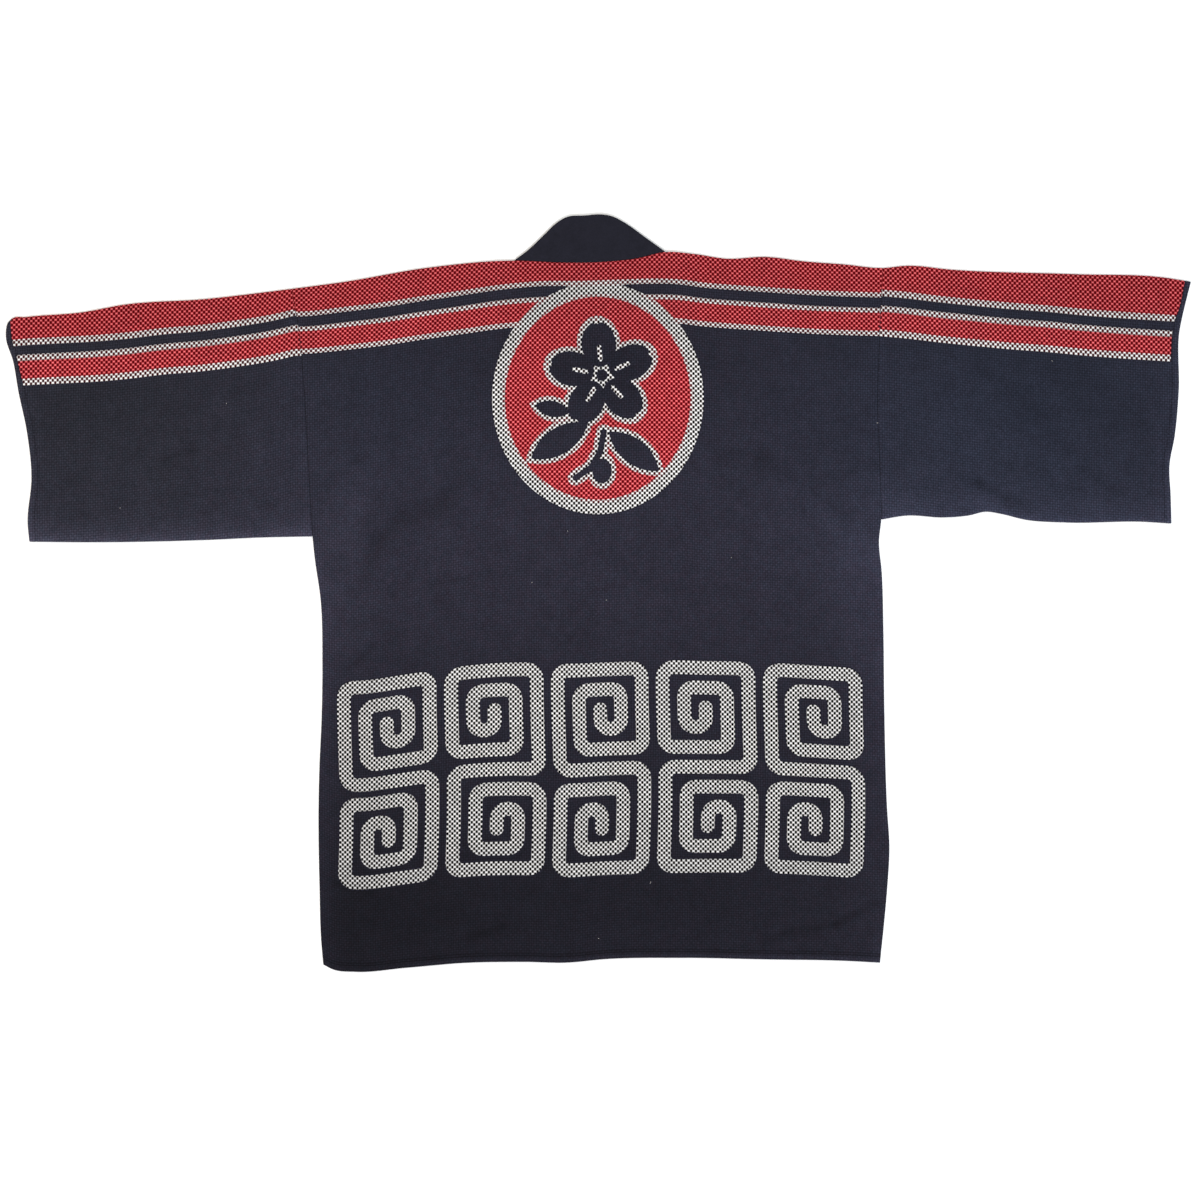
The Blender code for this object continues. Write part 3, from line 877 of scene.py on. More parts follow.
# %% Make the fronts
YARN_ROOM = 0.45            # thickness of the raised yarn, and a little more
YARN_FOOT = -62.0           # row below which no raised yarn lies under the coat
YARN_STEP = 10.0
LEAST_WALL = 0.05
FRONT_PITCH = 9.0
FRONT_WIDTH = 240.0
FRONT_GROOVE = 0.35


def under_face(row):
    """Height of the lowest face: on the table, or above it where there is raised yarn."""
    return YARN_ROOM * ease(row - YARN_FOOT, YARN_STEP)


def make_front(name, left, right):
    """Shell of one front, between its side seam and the collar band."""
    x, y = plan_grid(
        left, right, hem, shoulder,
        steps(FRONT_WIDTH, FRONT_PITCH), steps(BODY_HEIGHT, FRONT_PITCH, HEM_RIM),
    )
    row = back_rows(x, y)
    wall = lower_wall(x, y)
    draw = hem_draw(x, y)
    round_edges = kept(x - left(y)) * kept(right(y) - x) * kept(shoulder(x) - y)
    bottom = wall - (wall - under_face(row)) * round_edges + draw
    sewn = groove(y - hem(x) - HEM_SEWN, FRONT_GROOVE)
    return shell(
        name, x, y, wall - draw, np.minimum(bottom + sewn, wall - draw - LEAST_WALL),
        across=x / REPEAT, along=row / REPEAT, **dye_values(x, y, row),
    )


front_left_cloth = make_front("front_left_cloth", left_side, lambda y: left_seam(y) - SEAM_GAP / 2)
front_right_cloth = make_front("front_right_cloth", lambda y: right_seam(y) + SEAM_GAP / 2, right_side)

# %% [markdown]
# ## The sleeves
# A sleeve is one cloth folded at the top and sewn below, so it is a flattened tube. Its grid
# runs round the tube in one direction and along the arm in the other: over the table, round
# the top fold, back across the upper face and round the lower edge. The same ring a wall's
# thickness further in makes the inside, and both are joined at the open cuff.

# %% Round the tube
SLEEVE_PITCH = 4.4
SLEEVE_LENGTH = 320.0       # about, to share out the lines
SLEEVE_HEIGHT = 280.0
CUFF_GROOVE = 0.12
SEWN_GAP = 0.03             # a sewn armhole lets no light through
ROUND_STEPS = 8
FOLD_RIM = (0.0, 0.5, 1.5, 3.0)
FOLD_EASE = 6.0             # distance from a fold in which the face turns level
CUFF_SEWN = 7.5             # distance of the sewing from the cuff's edge


def sleeve_ring():
    """One turn round a flattened sleeve, as five arrays: share, reach, lift, upper and lower.

    Share is the way up between the two folds. Reach and lift are the cosine and the sine of
    the angle at a fold, and 0 and -1 or 1 on the flat. Upper and lower are 1 where the face
    is flat above, or flat below.
    """
    flat = steps(SLEEVE_HEIGHT, SLEEVE_PITCH, FOLD_RIM, FOLD_RIM)
    turn = np.linspace(-0.5, 0.5, ROUND_STEPS + 1)[1:-1] * math.pi
    still = np.zeros(len(flat))
    share = np.concatenate((flat, np.ones(len(turn)), flat[::-1], np.zeros(len(turn))))
    reach = np.concatenate((still, np.cos(turn), still, -np.cos(turn)))
    lift = np.concatenate((still - 1, np.sin(turn), still + 1, np.sin(turn)[::-1]))
    upper = np.concatenate((still, np.zeros(len(turn)), still + 1, np.zeros(len(turn))))
    lower = np.concatenate((still + 1, np.zeros(len(turn)), still, np.zeros(len(turn))))
    return share, reach, lift, upper, lower


print("points once round a sleeve:", len(sleeve_ring()[0]))

# %% [markdown]
# The face of the tube takes its places from the four edges and its heights from the cloth
# above, the table below, and the bends at both folds.

# %% Faces of the tube
CUFF_RIM = (0.0, 0.1, 0.35, 0.7, 1.2, 3.0, 5.5, 6.5, 7.0, 7.5, 8.0, 9.0)


def left_armhole(y):
    """Armhole end of the left sleeve."""
    return left_side(y) - SEWN_GAP


def right_armhole(y):
    """Armhole end of the right sleeve."""
    return right_side(y) + SEWN_GAP


def sleeve_face(near, far, radius, inset):
    """Places and heights of a sleeve's outer or inner face, ring after ring."""
    share, reach, lift, upper, lower = sleeve_ring()
    ends = (CUFF_RIM, RIM) if far is left_armhole else (RIM, CUFF_RIM)
    x, y = plan_grid(
        near, far,
        lambda at: undersleeve(at) + FOLD_RADIUS,
        lambda at: shoulder(at) - FOLD_RADIUS,
        steps(SLEEVE_LENGTH, SLEEVE_PITCH, *ends), share, (reach * radius)[:, None],
    )
    x, y = x.T, y.T
    bend = FOLD_RADIUS + lift * radius
    flat_top = cover_height(x, y) - inset
    edge_room = ease(shoulder(x) - y, FOLD_EASE) * ease(y - undersleeve(x), FOLD_EASE)
    flat_bottom = inset + under_face(sleeve_rows(x, y)) * edge_room * (inset == 0)
    z = np.where(upper > 0, flat_top, np.where(lower > 0, flat_bottom, bend))
    return x, y, z


print("gap at a sewn armhole, mm:", SEWN_GAP)

# %% [markdown]
# The outer and the inner face come from the same function, a wall apart. Toward the cuff both
# draw in to the middle of the wall, which rounds its turned edge.

# %% Make the sleeves
def make_sleeve(name, near, far):
    """Closed shell of a sleeve: outer and inner tube, joined at the cuff and the armhole."""
    outer = np.stack(sleeve_face(near, far, FOLD_RADIUS, 0.0), axis=-1)
    inner = np.stack(sleeve_face(near, far, FOLD_RADIUS - WALL, WALL), axis=-1)
    x, y = outer[..., 0], outer[..., 1]
    from_near, from_far = x - near(y), far(y) - x
    from_arm, from_cuff = (from_far, from_near) if far is left_armhole else (from_near, from_far)
    seam = kept(from_arm)[..., None]
    turned = kept(from_cuff, WALL / 2)[..., None]
    sewn = groove(from_cuff - CUFF_SEWN, CUFF_GROOVE)[..., None] / WALL
    outer = inner + (outer - inner) * seam * (1 - sewn)
    middle = (outer + inner) / 2
    outer, inner = middle + (outer - middle) * turned, middle + (inner - middle) * turned
    sections, count = x.shape
    number = np.arange(sections * count).reshape(sections, count)
    number = np.concatenate((number, number[:, :1]), axis=1)
    below = number + sections * count
    first, last = number[0, :-1], number[-1, :-1][::-1]
    faces = np.concatenate((
        grid_faces(number), grid_faces(below)[:, ::-1],
        join_faces(first, first + sections * count), join_faces(last, last + sections * count),
    ))
    points = np.concatenate((outer.reshape(-1, 3), inner.reshape(-1, 3)))
    x, y = points[:, 0], points[:, 1]
    row = sleeve_rows(x, y)
    uv = np.stack((x, row), axis=-1) / REPEAT
    return make_mesh(name, points, faces, uv, **dye_values(x, y, row))


sleeve_left_cloth = make_sleeve("sleeve_left_cloth", left_cuff, left_armhole)
sleeve_right_cloth = make_sleeve("sleeve_right_cloth", right_armhole, right_cuff)

# %% [markdown]
# ## The collar
# The collar band is plain cotton folded double and pressed. Behind the neck it stands up a
# little and is laid down flat, with a soft fold along its free edge. Down each front it lies
# under the coat.

# %% Make the collar behind the neck
BAND_WALL = 2.0             # the band folded double
COLLAR_TRIM = 1.5           # left free at either end of the band behind the neck
COLLAR_LENGTH = 168.0       # about, to share out the lines
COLLAR_HEIGHT = 50.0
COLLAR_PITCH = 4.0
COLLAR_FINE_PITCH = 2.5
BAND_WAVES = 0.35           # the band's faint waves, as a share of the coat's
BAND_CLOSER = 1.4           # and how much closer together they lie
FOLD_FOOT = (-8.0, 374.0)   # a soft fold crosses the band from here
FOLD_LEAN = 0.3
FOLD_WIDTH = 16.0
FOLD_RISE = 0.5
FREE_DIP = 0.45             # how far the band dips toward its free edge
FREE_REACH = 26.0
BAND_EASE = 12.0


def band_shell(name, x, y, low, round_edges, swell):
    """Double band: its middle stays, and both faces draw in to it at the rounded edges."""
    middle = low + BAND_WALL / 2
    half = BAND_WALL / 2 * round_edges
    return shell(
        name, x, y, middle + half + swell, middle - half,
        across=x / REPEAT, along=y / REPEAT, worn=np.ones_like(x),
    )


def band_relief(x, y, from_free):
    """Faint waves of the band, plus its soft cross fold, less the dip toward its free edge."""
    waves = BAND_WAVES * unevenness(x * BAND_CLOSER, y * BAND_CLOSER)
    off = (x - FOLD_FOOT[0] - (y - FOLD_FOOT[1]) * FOLD_LEAN) / FOLD_WIDTH
    return waves + FOLD_RISE * np.exp(-off ** 2) - FREE_DIP * ease(FREE_REACH - from_free, FREE_REACH)


def make_collar_back():
    """The band behind the neck, from the neckline to its free edge."""
    left, right = NECK_LEFT + COLLAR_TRIM, NECK_RIGHT - COLLAR_TRIM
    across = left + (right - left) * steps(COLLAR_LENGTH, COLLAR_PITCH)
    x, v = np.meshgrid(across, steps(COLLAR_HEIGHT, COLLAR_FINE_PITCH))
    low_edge = shoulder(x) + SEAM_GAP
    y = low_edge + (edge(COLLAR_EDGE, x) - low_edge) * v
    from_free, from_seam = edge(COLLAR_EDGE, x) - y, y - low_edge
    rounded = kept(from_free, BAND_WALL / 2) * kept(from_seam, BAND_WALL / 2)
    swell = band_relief(x, y, from_free) * ease(from_free, BAND_EASE) * ease(from_seam, BAND_EASE)
    return band_shell("collar_back_cloth", x, y, BAND_WALL + SEAM_GAP, rounded, swell)


collar_back_cloth = make_collar_back()

# %% [markdown]
# Down the fronts the band lies straight and flat on the table, level with the front that it is
# sewn to, and it ends at the hem.

# %% Make the collar down the fronts
BAND_LENGTH = 800.0         # about, to share out the lines
BAND_PITCH = 12.0
BAND_FINE_PITCH = 6.0


def make_collar_front(name, left, right):
    """The band down one front."""
    x, y = plan_grid(
        left, right, hem, lambda at: edge(COLLAR_EDGE, at),
        steps(BAND_WIDTH, BAND_FINE_PITCH), steps(BAND_LENGTH, BAND_PITCH),
    )
    sides = kept(x - left(y), BAND_WALL / 2) * kept(right(y) - x, BAND_WALL / 2)
    ends = kept(y - hem(x), BAND_WALL / 2) * kept(edge(COLLAR_EDGE, x) - y, BAND_WALL / 2)
    return band_shell(name, x, y, 0.0, sides * ends, 0.0)


collar_left_cloth = make_collar_front(
    "collar_left_cloth", lambda y: left_seam(y) + SEAM_GAP / 2, lambda y: left_seam(y) + BAND_WIDTH
)
collar_right_cloth = make_collar_front(
    "collar_right_cloth", lambda y: right_seam(y) - BAND_WIDTH, lambda y: right_seam(y) - SEAM_GAP / 2
)

# %% [markdown]
# ## The design
# The cloth is woven of pale yarn and dyed afterwards: paste kept the white and the red places
# free of navy, so a figure's edge is smooth and cuts through the yarn. Distance functions suit
# that. Each colour is held as the distance inside its own area, and a figure laid over the
# design takes its place from the other colours. The shoulder bands are plain stripes, and the
# ring is an ellipse. Inside it is a spray of blossom, and above the hem runs a fret of rounded
# spirals, two ornaments common to many textiles.

# %% Stripes and ring
FAR = 99.0                  # a distance that stands for nowhere near
Stripe = namedtuple("Stripe", "row half")       # row of its middle, half of its width
BODY_STRIPES = (Stripe(0.3, 2.8), Stripe(-17.35, 2.75), Stripe(-43.95, 2.85))
SLEEVE_STRIPES = (Stripe(-0.6, 3.6), Stripe(-17.75, 3.4), Stripe(-44.35, 3.65))

Oval = namedtuple("Oval", "x y wide high")
RING = Oval(-0.7, 219.9, 119.4, 130.8)
DISC = Oval(-0.9, 219.9, 104.8, 114.5)


def laid_over(colours, figure, name):
    """The design with a figure over it, where the figure is the distance inside it.

    Its own colour is the greater of the two distances, and the others are the lesser of
    their own and the distance outside the figure.
    """
    return {
        key: np.maximum(old, figure) if key == name else np.minimum(old, -figure)
        for key, old in colours.items()
    }


def striped(row, stripes):
    """White stripes over two bands of red, by the row of the weave."""
    first, second, third = (stripe.row for stripe in stripes)
    red = np.maximum(row - first, np.minimum(second - row, row - third))
    colours = {"red": red, "white": np.full(row.shape, -FAR)}
    for stripe in stripes:
        colours = laid_over(colours, stripe.half - np.abs(row - stripe.row), "white")
    return colours


def inside_oval(oval, x, y):
    """Distance inside an oval, true near its edge: lesser radius * (1 - reach)."""
    reach = np.hypot((x - oval.x) / oval.wide, (y - oval.y) / oval.high)
    return min(oval.wide, oval.high) * (1 - reach)


print("width of the white ring, mm:", round(RING.wide - DISC.wide, 1))

# %% [markdown]
# The fret is drawn once as a path on a square lattice of lines, its corners rounded by arcs,
# and every second unit is mirrored. The distance to a path is the least distance to its
# straight pieces.

# %% Rounded paths
SPIRAL = ((2, 2), (2, 3), (3, 3), (3, 1), (1, 1), (1, 4), (4, 4), (4, 0), (0, 0), (0, 5))
ARC_POINTS = 5


def rounded_path(points, radius):
    """The points with each corner replaced by an arc of that radius, as short straight runs."""
    points = np.array(points, float)
    path = [points[0]]
    for before, corner, after in zip(points, points[1:], points[2:]):
        back = (before - corner) / np.linalg.norm(before - corner)
        on = (after - corner) / np.linalg.norm(after - corner)
        for t in np.linspace(0, 1, ARC_POINTS):
            angle = t * math.pi / 2
            arc = back * (1 - math.sin(angle)) + on * (1 - math.cos(angle))
            path.append(corner + radius * arc)
    path.append(points[-1])
    return np.array(path)


def path_distance(path, x, y):
    """Least distance from each place to the straight pieces of a path."""
    least = np.full(x.shape, np.inf)
    for start, end in zip(path[:-1], path[1:]):
        least = np.minimum(least, run_distance(start, end, x, y))
    return least


print("arc points of one spiral:", len(rounded_path(SPIRAL, 0.3)))

# %% [markdown]
# One spiral winds in, and the same one turned half round hangs below it, so that a unit is a
# single unbroken line.

# %% Fret of spirals
LINE_PITCH = 24.0           # from one upright line of the fret to the next
LINE_DROP = 22.5            # from one level line to the next
LINE_HALF = 7.7             # half of a line's thickness
CORNER = 11.0               # radius of the rounded corners
UNIT_LINES = 5
UNITS = 5
FRET_LEFT = -285.0          # middle of the first upright line
FRET_TOP = -435.5           # row of the highest level line


def fret_paths():
    """Middle lines of all the units: a spiral, joined at its foot to the same one turned round."""
    spiral = np.array(SPIRAL)
    turned_round = (UNIT_LINES - 1, 2 * UNIT_LINES) - spiral[::-1]
    unit = np.concatenate((spiral, turned_round)) * (LINE_PITCH, LINE_DROP)
    paths = []
    for k in range(UNITS):
        path = unit.copy()
        if k % 2:
            path[:, 0] = (UNIT_LINES - 1) * LINE_PITCH - path[:, 0]
        path = path * (1, -1) + (FRET_LEFT + k * UNIT_LINES * LINE_PITCH, FRET_TOP)
        paths.append(rounded_path(path, CORNER))
    return paths


print("units of the fret:", len(fret_paths()))

# %% [markdown]
# The line wavers a little, as paste cut by hand does. The distance is worked out near the fret
# only, because it costs the most of all the figures.

# %% Wavering lines
Sway = namedtuple("Sway", "far over ahead")
SWAY_DOWN = Sway(1.6, 41.0, 0.0)        # sideways, on the way down the fret
SWAY_ALONG = Sway(1.0, 57.0, 0.0)       # sideways, on the way along it
SWAY_LEVEL = Sway(1.8, 49.0, 1.0)       # up and down, on the way along it
FRET_ROOM = 15              # how far round the fret its distances are worked out


def waver(sway, at):
    """How far a line wavers at a place: far * sin(at / over + ahead)."""
    return sway.far * np.sin(at / sway.over + sway.ahead)


def inside_fret(x, row):
    """Distance inside the fret's lines, which waver a little as hand-cut paste does."""
    sway_x = x + waver(SWAY_DOWN, row) + waver(SWAY_ALONG, x)
    sway_row = row + waver(SWAY_LEVEL, x)
    inside = np.full(x.shape, -FAR)
    foot = FRET_TOP - 2 * UNIT_LINES * LINE_DROP
    near = (row < FRET_TOP + FRET_ROOM) & (row > foot - FRET_ROOM)
    for path in fret_paths():
        off = path_distance(path, sway_x[near], sway_row[near])
        inside[near] = np.maximum(inside[near], LINE_HALF - off)
    return inside


print("the fret is deep, in rows:", 2 * UNIT_LINES * LINE_DROP)

# %% [markdown]
# The blossom is five notched petals round a small heart, with two leaves and a bud on a bent
# stem. Petals are ovals turned about the heart, leaves are where two circles overlap. The
# navy figure has a white line round it.

# %% Blossom spray
OUTLINE = 5.2
HEART = (4.0, 246.0)
HEART_RADIUS = 6.5
VEIN_HALF = 2.4             # half of the white line's in a petal
VEIN_OUT = 25               # from the heart to the middle of that line
VEIN_LONG = 7               # half of its length
PETALS = 5
FIRST_PETAL = 90 + 6        # direction of the first one, in degrees
PETAL_OUT = 35.0            # from the heart to the middle of a petal
PETAL_LONG = 25.5
PETAL_WIDE = 19.5
NOTCH = 5.0
NOTCH_BEYOND = 2.5          # from the petal's tip out to the middle of the notch


def petals(x, y):
    """Distance to the nearest petal, its tip cut in by a small notch."""
    nearest = np.full(x.shape, np.inf)
    for k in range(PETALS):
        out, aside = turned(*HEART, FIRST_PETAL + 360 // PETALS * k, x, y)
        oval = -inside_oval(Oval(PETAL_OUT, 0, PETAL_LONG, PETAL_WIDE), out, aside)
        notch = NOTCH - np.hypot(out - PETAL_OUT - PETAL_LONG - NOTCH_BEYOND, aside)
        past_vein = np.clip(np.abs(out - VEIN_OUT) - VEIN_LONG, 0, None)
        vein = VEIN_HALF - np.hypot(past_vein, aside)
        nearest = np.minimum(nearest, np.maximum(np.maximum(oval, notch), vein))
    return nearest


print("petals:", PETALS)

# %% [markdown]
# The least of the parts' distances joins leaves, stem, bud and blossom to one figure.

# %% Leaves, stem and bud
STEM = ((6, 182), (2, 160), (-8, 142), (-26, 130))
STEM_HALF = 3.4             # half of its thickness
BUD = Oval(4, 138, 11, 14)
Leaf = namedtuple("Leaf", "x y turn long wide")
LEAVES = (Leaf(-44, 172, 212, 38, 15), Leaf(40, 160, -38, 36, 14), Leaf(-52, 208, 168, 20, 9))


def leaf_distance(leaf, x, y):
    """Distance to a leaf: the overlap of two equal circles."""
    along, aside = turned(leaf.x, leaf.y, leaf.turn, x, y)
    radius = (leaf.long ** 2 + leaf.wide ** 2) / (2 * leaf.wide)
    return np.hypot(along, np.abs(aside) + radius - leaf.wide) - radius


def spray(x, y):
    """Distance to the whole figure: the least of its parts' distances."""
    heart = np.hypot(x - HEART[0], y - HEART[1]) - HEART_RADIUS
    stem = path_distance(np.array(STEM, float), x, y) - STEM_HALF
    bud = -inside_oval(BUD, x, y)
    parts = [petals(x, y), heart, stem, bud]
    parts += [leaf_distance(leaf, x, y) for leaf in LEAVES]
    return np.minimum.reduce(parts)


print("the heart is navy, distance below 0:", round(float(spray(*map(np.array, HEART))), 1))

# %% [markdown]
# The back has all the parts of the design, a sleeve has the stripes as far as its cuff, and a
# front has the stripes alone.

# %% Design of each piece
def back_design(x, y, row):
    """The colours of the back."""
    disc = inside_oval(DISC, x, y)
    figure = spray(x, y)
    colours = striped(row, BODY_STRIPES)
    colours = laid_over(colours, inside_oval(RING, x, y), "white")
    colours = laid_over(colours, disc, "red")
    colours = laid_over(colours, np.minimum(disc, OUTLINE - figure), "white")
    colours = laid_over(colours, np.minimum(disc, -figure), "navy")
    return laid_over(colours, inside_fret(x, row), "white")


def sleeve_design(x, y, row):
    """The colours of a sleeve: the stripes, which stop short of the cuff."""
    printed = inside_print(x, y)
    colours = striped(row, SLEEVE_STRIPES)
    return {name: np.minimum(inside, printed) for name, inside in colours.items()}


def front_design(x, y, row):
    """The colours of a front: the stripes alone."""
    return striped(row, BODY_STRIPES)


at_stripe = back_design(np.array([-200.0]), np.array([332.0]), np.array([0.0]))
print("inside the white of the top stripe, mm:", round(float(at_stripe["white"][0]), 1))

# %% [markdown]
# ## The raised yarn
# Each crossing is a small pillow of yarn. Four dark gaps stand at its corners, and its arms run
# on to the next crossings. On the navy ground it hardly shows, so a bump is enough there. In
# the white and the red it is the cloth's whole character, so there it is real: one tile of
# fifteen points, whose gaps at the corners are shared with the tiles around it.

# %% One tile of yarn
TilePoint = namedtuple("TilePoint", "across up crown rise")
TILE = (                    # places in half repeats; crown is 0 in a gap and 1 on the yarn's top
    TilePoint(0.58, 0.42, 0.66, 0.24), TilePoint(0.42, 0.58, 0.66, 0.24),
    TilePoint(0.00, 0.33, 0.66, 0.26), TilePoint(-0.42, 0.58, 0.66, 0.24),
    TilePoint(-0.58, 0.42, 0.66, 0.24), TilePoint(-0.58, -0.42, 0.66, 0.24),
    TilePoint(-0.42, -0.58, 0.66, 0.24), TilePoint(0.00, -0.33, 0.66, 0.26),
    TilePoint(0.42, -0.58, 0.66, 0.24), TilePoint(0.58, -0.42, 0.66, 0.24),
    TilePoint(0.00, 0.00, 1.00, 0.42),
    TilePoint(1.00, 0.00, 0.00, 0.06), TilePoint(0.00, 1.00, 0.00, 0.06),
    TilePoint(-1.00, 0.00, 0.00, 0.06), TilePoint(0.00, -1.00, 0.00, 0.06),
)
TILE_FACES = np.array(
    [(10, k, (k + 1) % 10) for k in range(10)]
    + [(9, 11, 0), (1, 12, 2), (2, 12, 3), (4, 13, 5), (6, 14, 7), (7, 14, 8)]
)
print("triangles of a tile:", len(TILE_FACES))

# %% [markdown]
# The crossings lie on every second point of a square lattice of half repeats. Those of one piece
# are found as arrays, from the box that it fills in the weave.

# %% Crossings of the weave
PROBES = 60                 # places along a box's side where its rows are looked up


def crossings(box, rows_of):
    """Lattice numbers of all the crossings in a box, across and along."""
    (x0, x1), (y0, y1) = box
    across = np.arange(math.floor(x0 / HALF), math.ceil(x1 / HALF) + 1)
    probes = np.linspace(x0, x1, PROBES)
    lowest = rows_of(probes, np.full(PROBES, float(y0))).min()
    highest = rows_of(probes, np.full(PROBES, float(y1))).max()
    along = np.arange(math.floor(lowest / HALF), math.ceil(highest / HALF) + 1)
    m, n = (grid.ravel() for grid in np.meshgrid(across, along))
    odd = (m + n) % 2 == 1
    return m[odd], n[odd]


print("crossings in a square of ten repeats:", len(crossings(((0, 55), (0, 55)), lambda x, y: y)[0]))

# %% [markdown]
# A piece has two sides and a foot, and the shoulder line is its top. The room to the nearest of
# them says which crossings are on the cloth, and a fit keeps the outermost points inside it.

# %% Room and fit inside the edges
EDGE_FIT = 0.15             # how far inside an edge the outermost points lie


def room_inside(edges, x, y):
    """Distance to the nearest edge of a piece."""
    near, far, foot = edges
    sides = np.minimum(x - near(y), far(y) - x)
    return np.minimum(sides, np.minimum(shoulder(x) - y, y - foot(x)))


def fit_inside(edges, x, y):
    """Places moved just inside the sides and the shoulder line."""
    near, far, _ = edges
    y = np.minimum(y, shoulder(x) - EDGE_FIT)
    return np.clip(x, near(y) + EDGE_FIT, far(y) - EDGE_FIT), y


back_edges = (left_side, right_side, hem)
print("room at the ring, mm:", round(float(room_inside(back_edges, RING.x, RING.y)), 1))

# %% [markdown]
# The tiles of a piece are set out on the lattice and merged where they share a point. The
# distances inside the colours ride on the points, and the material draws the edges from them.
# What lies outside the colours sinks into the cloth, so a figure's edge stays clean.

# %% Mesh of the tiles
KEY_STEPS = 100             # points are told apart to this share of half a repeat
SINKS_FROM = 0.4            # how far outside the colours a point begins to sink
SUNK_AT = 1.8               # and how far outside it has sunk into the cloth
SUNK_DEPTH = 0.12
LEAST_AREA = 0.02           # faces pressed flatter than this at an edge are left out
LOWEST = 0.02               # nothing goes below this height above the table


def yarn_tiles(name, m, n, height_of, edges, design, face, side):
    """Mesh of the tiles at these crossings, raised from a face of the cloth.

    A tile stays where any of its points is inside a colour, and what lies outside the colours
    sinks into the cloth.
    """
    tile = np.array(TILE)
    places = np.stack((m, n), axis=-1)[:, None] + tile[:, :2]
    keys = np.round(places * KEY_STEPS).astype(np.int64).reshape(-1, 2)
    single, first, number = np.unique(keys, axis=0, return_index=True, return_inverse=True)
    number = number.reshape(len(m), len(tile))
    crown = np.tile(tile[:, 2], len(m))[first]
    rise = np.tile(tile[:, 3], len(m))[first]
    x = single[:, 0] * HALF / KEY_STEPS
    row = single[:, 1] * HALF / KEY_STEPS
    colours = design(x, height_of(x, row), row)
    coloured = np.maximum(colours["red"], colours["white"]) > 0
    number = number[coloured[number].any(axis=1)]
    used, number = np.unique(number, return_inverse=True)
    number = number.reshape(-1, len(tile))
    x, row, crown, rise = x[used], row[used], crown[used], rise[used]
    inside = {name: values[used] for name, values in colours.items()}
    stays = ease(np.maximum(inside["red"], inside["white"]) + SUNK_AT, SUNK_AT - SINKS_FROM)
    rise = rise * stays - SUNK_DEPTH * (1 - stays)
    uv = np.stack((x, row), axis=-1) / REPEAT
    x, y = fit_inside(edges, x, height_of(x, row))
    points = np.stack((x, y, np.maximum(face(x, y) + side * rise, LOWEST)), axis=-1)
    faces = number[:, TILE_FACES].reshape(-1, 3)[:, ::side]
    first, second, third = (points[faces[:, k]] for k in range(3))
    crossed = np.cross(second - first, third - first)
    faces = faces[np.linalg.norm(crossed, axis=1) > LEAST_AREA]
    return make_mesh(name, points, faces, uv, crown=crown, clean=clean(x, y), **inside)


print("a tile rises above the cloth by mm:", max(point.rise for point in TILE))

# %% [markdown]
# Only crossings near a colour and on the cloth are woven. The rest of the ground stays plain,
# which keeps the meshes light.

# %% Weave the yarn of a piece
BEYOND = 1.2                # how far outside an edge the middle of a crossing may lie


def weave_yarn(piece, box, rows_of, height_of, edges, design, face, side=1):
    """The raised coloured yarn of one face of a piece."""
    m, n = crossings(box, rows_of)
    x, row = m * HALF, n * HALF
    y = height_of(x, row)
    colours = design(x, y, row)
    wanted = np.maximum(colours["red"], colours["white"]) > -HALF
    wanted &= room_inside(edges, x, y) > -BEYOND
    return yarn_tiles(
        piece + "_yarn", m[wanted], n[wanted], height_of, edges, design, face, side
    )


print("half a repeat, from a crossing to the next gap, mm:", HALF)

# %% [markdown]
# The back comes first, in two meshes: the shoulders with the ring, and the fret near the hem.
# Plain navy parts them, and neither grows too heavy to handle.

# %% Lay the yarn on the back
BACK_ACROSS = (-348, 330)
BACK_HALVES = (("back_upper", (0, 386)), ("back_lower", (-428, 0)))
yarn = {"back": [
    weave_yarn(
        name, (BACK_ACROSS, up), back_rows, back_height, back_edges, back_design, back_upper
    )
    for name, up in BACK_HALVES
]}

# %% [markdown]
# The stripes run round the top fold of each sleeve, so the sleeves have yarn above and below.
# Both layers of it follow the bend of the fold and the rounded armhole.

# %% Faces of the sleeves
def from_armhole(x, y):
    """Distance from the armhole out along either sleeve."""
    return np.where(x < 0, left_armhole(y) - x, x - right_armhole(y))


def fold_drop(distance):
    """How far the upper half of a folded edge drops: a quarter circle of the fold's radius."""
    t = 1 - np.clip(distance / FOLD_RADIUS, 0, 1)
    return FOLD_RADIUS * (1 - np.sqrt(1 - t * t))


def sleeve_upper(x, y):
    """Upper face of either sleeve, rounded at the fold and at the armhole."""
    drop = fold_drop(shoulder(x) - y)
    return cover_height(x, y) - drop - WALL * (1 - kept(from_armhole(x, y)))


def sleeve_lower(x, y):
    """Lowest face of either sleeve."""
    low = under_face(sleeve_rows(x, y)) * ease(shoulder(x) - y, FOLD_EASE)
    return low + fold_drop(shoulder(x) - y) + WALL * (1 - kept(from_armhole(x, y)))


print("drop at the fold itself, mm:", round(float(fold_drop(0.0)), 2))

# %% [markdown]
# Each sleeve gets its yarn twice, above and beneath, from the same rows of the weave. That way
# a stripe meets itself at the fold.

# %% Lay the yarn on the sleeves
SLEEVE_UP = (225, 375)      # heights between which the stripes lie
SLEEVES = (
    ("sleeve_left", left_cuff, left_armhole, (-672, -322)),
    ("sleeve_right", right_armhole, right_cuff, (314, 672)),
)
for name, near, far, across in SLEEVES:
    edges = (near, far, undersleeve)
    yarn[name] = [
        weave_yarn(
            name + layer, (across, SLEEVE_UP), sleeve_rows, sleeve_height, edges,
            sleeve_design, face, side,
        )
        for layer, face, side in (("", sleeve_upper, 1), ("_under", sleeve_lower, -1))
    ]

# %% [markdown]
# Under the coat the stripes go on over the fronts, as far as the collar band. There the tiles
# face down, toward the table.

